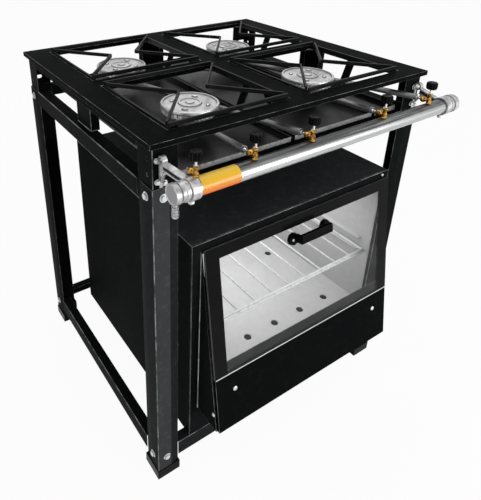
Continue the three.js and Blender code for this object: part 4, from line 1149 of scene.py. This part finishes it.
class RANGE_OT_oven(bpy.types.Operator):
    """Oven box, front frame, lining, floor, tube burner and rack"""

    bl_idname = "range.oven"
    bl_label = "Oven"

    ALONG = 0.7                   # a face's normal above this looks along that axis
    BESIDE_FLOOR = 5 * MM         # the mouth's zinc faces lie within the floor's sides and this
    NEAR_FLOOR = 12 * MM          # and its sill within this of the floor's height
    HEADER = 20 * MM              # the front frame's upper band has no zinc
    BURNER_EDGE = 0.4 * MM
    WIRE = 3.5 * MM               # the rack's wires, as radii
    FRONT_WIRE = 2.5 * MM
    FINE_WIRE = 2.2 * MM
    FINE_WIRES = 9

    def execute(self, context):
        """Makes the oven."""
        low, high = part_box("oven_front_frame")
        floor_low, floor_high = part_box("oven_floor")

        def upward(face):
            """Faces that look up have the second finish, which is painted light."""
            return int(face.normal.z > self.ALONG)

        def mouth(face):
            """The sill and the cheeks' inner sides are bare zinc sheet."""
            centre, normal = face.calc_center_median(), face.normal
            inside = floor_low.x - self.BESIDE_FLOOR < centre.x < floor_high.x + self.BESIDE_FLOOR
            sill = normal.z > self.ALONG and abs(centre.z - floor_high.z) < self.NEAR_FLOOR
            cheek = abs(normal.x) > self.ALONG and normal.x * (centre.x - (low.x + high.x) / 2) < 0
            return int(inside and centre.z < high.z - self.HEADER and (sill or cheek))

        # the shell's top gets strong painted light
        folded_copy("oven_shell", (shell_paint, settled_dust), upward, paint_edge)
        folded_copy("oven_front_frame", (shell_paint, galvanised), mouth, bright_edge)
        # the liner's upward faces get painted light
        folded_copy("oven_liner", (galvanised, floor_zinc), upward)
        # the oven's floor gets painted light
        folded_copy("oven_floor", (floor_zinc,))
        # the black bottom sheet under the oven burner makes the flame holes look dark; it stands in for the
        # shade seen through them
        folded_copy("oven_bottom", (shell_paint,))
        burner = rounded(from_node("oven_tube_burner"), self.BURNER_EDGE, 2, math.radians(40))
        piece("oven_burner_tube", burner, "stand", (cast_aluminium,), ["oven_tube_burner"])
        self.rack()
        return {"FINISHED"}

    def rack(self):
        """Frame wires with their corners, a second front wire and the fine wires on top."""
        low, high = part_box("oven_rack")
        left, right = low.x + self.WIRE, high.x - self.WIRE
        front, back = low.y + self.WIRE, high.y - self.WIRE
        level = low.z + self.WIRE
        corners = [Vector((x, y, level)) for x, y in ((left, front), (right, front), (right, back),
                                                      (left, back))]
        rack = bmesh.new()
        for start, end in zip(corners, corners[1:] + corners[:1]):
            merged(rack, wire(start, end, self.WIRE))
            knuckle = bmesh.new()
            bmesh.ops.create_uvsphere(knuckle, u_segments=14, v_segments=8, radius=self.WIRE)
            merged(rack, shifted(knuckle, *start))
        upper = level + 2 * self.WIRE
        merged(rack, wire((left + self.WIRE, front, upper), (right - self.WIRE, front, upper),
                          self.FRONT_WIRE))
        fine_level = level + self.WIRE
        for i in range(1, self.FINE_WIRES + 1):
            x = left + (right - left) * i / (self.FINE_WIRES + 1)
            across = wire((x, low.y, fine_level), (x, high.y, fine_level), self.FINE_WIRE, 10)
            merged(rack, coloured(across, 1))
        piece("oven_rack_wires", rack, "rack", (rack_wire, fine_wire), ["oven_rack"])


class Door:
    """The leaning door's own frame: x across from its middle, y = 0 at the glass, z = 0 at the top edge."""

    LEAN = math.atan2(71, 430)    # the door's foot stands 71 mm further out over its 430 mm
    TOP = mm(0, -280.1, 595)
    SLOPE = 435.82 * MM           # the door's height along its face
    APRON = 137 * MM              # the panel's height below the glass
    GLASS = 4 * MM                # the glass's thickness, and its printed borders
    BORDER_SIDE = 32 * MM
    BORDER_TOP = 25 * MM
    BORDER_FOOT = 3 * MM

    def __init__(self):
        low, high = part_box("door_glass")
        self.half = (high.x - low.x) / 2
        self.foot = self.APRON - self.SLOPE
        place = Vector(((low.x + high.x) / 2, self.TOP.y, self.TOP.z))
        self.matrix = Matrix.Translation(place) @ Matrix.Rotation(-self.LEAN, 4, "X")

    def screws(self, name, radius, *places):
        """Round screws on the door, as one piece."""
        form = bmesh.new()
        for place in places:
            merged(form, stood(round_screw(radius), place, -Y_AXIS))
        fastening(name, moved(form, self.matrix), "door")


class RANGE_OT_door(bpy.types.Operator):
    """Oven door: folded panel, glass with its black printed border, bright strip, screws and handle"""

    bl_idname = "range.door"
    bl_label = "Oven door"

    STRIP = (mm(1, -0.8, -1.6), mm(-1, 0.6, 0.8))         # its corners, from the glass's lower corners
    APRON_SCREW = mm(219.5, 0, -342.6)
    GRIP = (mm(-45, -30, -53.5), mm(45, -22, -33.5))
    FOOT = mm(47, -0.3, -49.5)                            # the right foot of the handle
    POST = mm(37.5, -14, -49)                             # the middle of its right post
    POST_HALF = mm(4.5, 10, 8.5)
    FOOT_SCREW = mm(50, -7, -49.5)
    FLAT_ON = 0.9                                         # a pane's face above this Y isn't its edge

    def execute(self, context):
        """Makes the door."""
        door = Door()
        folded_copy("door_panel", (front_paint,), rim=paint_edge)
        self.glass(door)
        left, right = (Vector((side * door.half, 0, door.foot)) for side in (-1, 1))
        strip = block(left + self.STRIP[0], right + self.STRIP[1], 0.25 * MM)
        fastening("door_strip", moved(strip, door.matrix), "door")
        door.screws("apron_screws", sizes().screw_radius, *mirrored(self.APRON_SCREW))
        self.handle(door)
        return {"FINISHED"}

    def glass(self, door):
        """A pane whose border is black on both faces and clear inside it."""
        pane = block((-door.half, 0, door.foot), (door.half, door.GLASS, 0))
        side, top, foot = door.half - door.BORDER_SIDE, -door.BORDER_TOP, door.foot + door.BORDER_FOOT
        for axis, place in ((X_AXIS, -side), (X_AXIS, side), (Z_AXIS, top), (Z_AXIS, foot)):
            bmesh.ops.bisect_plane(pane, geom=pane.verts[:] + pane.edges[:] + pane.faces[:],
                                   plane_co=axis * place, plane_no=axis)
        for face in pane.faces:
            centre = face.calc_center_median()
            clear = abs(centre.x) < side and foot < centre.z < top
            face.material_index = int(clear) if abs(face.normal.y) > self.FLAT_ON else 2
        moved(pane, door.matrix)
        piece("door_window", pane, "door", (printed_enamel, clear_glass, glass_edge), ["door_glass"])

    def handle(self, door):
        """Two eight-sided feet with screws, and the flat grip between them."""
        grip = block(*self.GRIP, 1.2 * MM)
        for foot, post in zip(mirrored(self.FOOT), mirrored(self.POST)):
            merged(grip, stood(drum(15 * MM, 8 * MM, 8, 13.4 * MM, 0.8 * MM), foot, -Y_AXIS),
                   block(post - self.POST_HALF, post + self.POST_HALF, 1.2 * MM))
        piece("door_grip", moved(grip, door.matrix), "door", (black_plastic,),
              ["door_handle"])
        door.screws("grip_screws", 3.4 * MM, *mirrored(self.FOOT_SCREW))


class RANGE_OT_face_screws(bpy.types.Operator):
    """Screws in the oven's front frame and at the door's hinges"""

    bl_idname = "range.face_screws"
    bl_label = "Front screws"

    HEADER_SCREW = mm(-20.8, 7, -8)         # from the frame's right end, the door's front and the frame's top
    HINGE = mm(0, -332.09, 206.46)          # the hinges' line
    IN_RECESS = 20.5 * MM                   # the left hinge's screw lies so far in from the frame's end

    def execute(self, context):
        """Makes the header screw and the two hinge screws."""
        low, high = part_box("oven_front_frame")
        header = Vector((high.x, Door.TOP.y, high.z)) + self.HEADER_SCREW
        screws = stood(round_screw(3.6 * MM), header, -Y_AXIS)
        for x, axis in ((high.x, X_AXIS), (low.x + self.IN_RECESS, -X_AXIS)):
            merged(screws, stood(round_screw(4.6 * MM), Vector((x, 0, 0)) + self.HINGE, axis))
        fastening("front_screws", screws, "stand")
        return {"FINISHED"}


class RANGE_OT_studio(bpy.types.Operator):
    """Camera at the photograph's viewing angle, pale floor and soft light"""

    bl_idname = "range.studio"
    bl_label = "Studio"

    CAMERA = mm(-726.5, -924.3, 1205.4)
    PITCH = 25.12                     # down, in degrees
    YAW = 32.53                       # to the right
    ROLL = -0.04
    FOCAL_PIXELS = 520.44
    AXIS_PIXEL = (177.92, 138.65)     # where the optical axis meets the photograph
    PHOTO = (481, 500)
    SENSOR = 36.0

    AIM = Vector((0, 0, 0.5))
    BOXES = {"front_soft_box": ((1.1, -2.7, 0.75), (1.9, 1.2), "key_power"),
             "left_soft_box": ((-3.0, -0.6, 1.6), (1.6, 1.6), "fill_power"),
             "top_soft_box": ((0.3, 0.6, 3.0), (2.0, 2.0), "top_power")}
    OVEN_BOX = (0.4, 0.36)
    BELOW_LINER = 12 * MM             # the oven's light below its liner's top
    FLOOR_SIZE = 20.0
    FLOOR_GLOW = 0.95                 # how much of what the camera sees of the floor is plain white

    def execute(self, context):
        """Makes the camera, the lights, the world and the floor."""
        scene = context.scene
        scene.view_settings.view_transform = "Standard"
        self.camera(scene)
        self.lights(scene)
        self.world(scene)
        self.floor(scene)
        return {"FINISHED"}

    def camera(self, scene):
        """A camera with the photograph's place, angle, lens and framing."""
        wide, high = self.PHOTO
        data = bpy.data.cameras.new("camera")
        data.sensor_fit = "HORIZONTAL"
        data.sensor_width = self.SENSOR
        data.lens = self.FOCAL_PIXELS / wide * self.SENSOR
        data.shift_x = (wide / 2 - self.AXIS_PIXEL[0]) / wide
        data.shift_y = (self.AXIS_PIXEL[1] - high / 2) / wide
        data.clip_start, data.clip_end = 0.05, 60
        camera = bpy.data.objects.new("camera", data)
        camera.location = self.CAMERA
        camera.rotation_euler = [math.radians(angle) for angle in (90 - self.PITCH, self.ROLL, -self.YAW)]
        scene.collection.objects.link(camera)
        scene.camera = camera

    def lights(self, scene):
        """Soft boxes in front, at the left and overhead, and a soft light under the oven's top."""
        for name, (place, size, power) in self.BOXES.items():
            self.lamp(scene, name, Vector(place), self.AIM, size, power)
        above = middle("oven_liner")
        above.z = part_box("oven_liner")[1].z - self.BELOW_LINER
        lamp = self.lamp(scene, "oven_light", above, above - Z_AXIS, self.OVEN_BOX, "oven_power")
        lamp.visible_glossy = False

    def lamp(self, scene, name, place, target, size, power):
        """A soft box that shines on a target and doesn't show itself to the camera."""
        data = bpy.data.lights.new(name, "AREA")
        data.shape = "RECTANGLE"
        data.size, data.size_y = size
        data.energy = getattr(scene.range_studio, power)
        lamp = bpy.data.objects.new(name, data)
        lamp.location = place
        lamp.visible_camera = False
        lamp.rotation_euler = (target - place).to_track_quat("-Z", "Y").to_euler()
        scene.collection.objects.link(lamp)
        return lamp

    def world(self, scene):
        """White to the camera, to mirrors and through glass, and a plain grey light otherwise."""
        scene.world = bpy.data.worlds.new("studio")
        recipe = Recipe(scene.world, "Background")
        recipe.shade(color=(1, 1, 1), strength=recipe.shown(scene.range_studio.world_level, 1))

    def floor(self, scene):
        """A pale floor that keeps the range's shadow and looks nearly white to the camera."""
        form = bmesh.new()
        bmesh.ops.create_grid(form, x_segments=1, y_segments=1, size=self.FLOOR_SIZE)
        mesh = bpy.data.meshes.new("studio_floor")
        form.to_mesh(mesh)
        form.free()
        material = bpy.data.materials.new("studio_floor")
        recipe = Recipe(material)
        colour = recipe.tones(recipe.noise(2, 3), scene.range_studio.floor, 0.99, 1.01)
        recipe.shade(base_color=colour, roughness=0.7, specular=0.1)
        glow = recipe.node("ShaderNodeEmission", {"Color": (1, 1, 1, 1), "Strength": 1.0})
        both = recipe.node("ShaderNodeMixShader", {0: recipe.shown(0, self.FLOOR_GLOW),
                                                   1: Socket(recipe, recipe.shader.outputs[0]), 2: glow})
        recipe.feed(recipe.tree.nodes["Material Output"].inputs["Surface"], both)
        mesh.materials.append(material)
        floor = bpy.data.objects.new("studio_floor", mesh)
        scene.collection.objects.link(floor)


OPERATORS = (RANGE_OT_studio, RANGE_OT_frame, RANGE_OT_feet, RANGE_OT_leg_bolts, RANGE_OT_grates,
             RANGE_OT_trays, RANGE_OT_gas_pipe, RANGE_OT_inlet, RANGE_OT_brackets, RANGE_OT_taps,
             RANGE_OT_knobs, RANGE_OT_burners, RANGE_OT_oven, RANGE_OT_door, RANGE_OT_face_screws)


class RANGE_PT_range(bpy.types.Panel):
    """Lists the range's pieces and their sizes and colours"""

    bl_idname = "RANGE_PT_range"
    bl_label = "Gas range"
    bl_space_type = "VIEW_3D"
    bl_region_type = "UI"
    bl_category = "Range"

    def draw(self, context):
        """Draws the buttons, then the properties."""
        for operator in OPERATORS:
            self.layout.operator(operator.bl_idname)
        scene = context.scene
        for group in (scene.range_sizes, scene.range_finishes, scene.range_studio):
            box = self.layout.box()
            for name in group.__annotations__:
                box.prop(group, name)


GROUPS = {"range_sizes": RangeSizes, "range_finishes": RangeFinishes, "range_studio": RangeStudio}


def register():
    """Registers the property groups, the operators and the panel."""
    for name, group in GROUPS.items():
        bpy.utils.register_class(group)
        setattr(bpy.types.Scene, name, PointerProperty(type=group))
    for made in (*OPERATORS, RANGE_PT_range):
        bpy.utils.register_class(made)


def unregister():
    """Takes them away again."""
    for made in (RANGE_PT_range, *reversed(OPERATORS)):
        bpy.utils.unregister_class(made)
    for name, group in GROUPS.items():
        delattr(bpy.types.Scene, name)
        bpy.utils.unregister_class(group)


def main():
    """Builds every piece."""
    register()
    for operator in OPERATORS:
        group, name = operator.bl_idname.split(".")
        getattr(getattr(bpy.ops, group), name)()


if __name__ == "__main__":
    main()
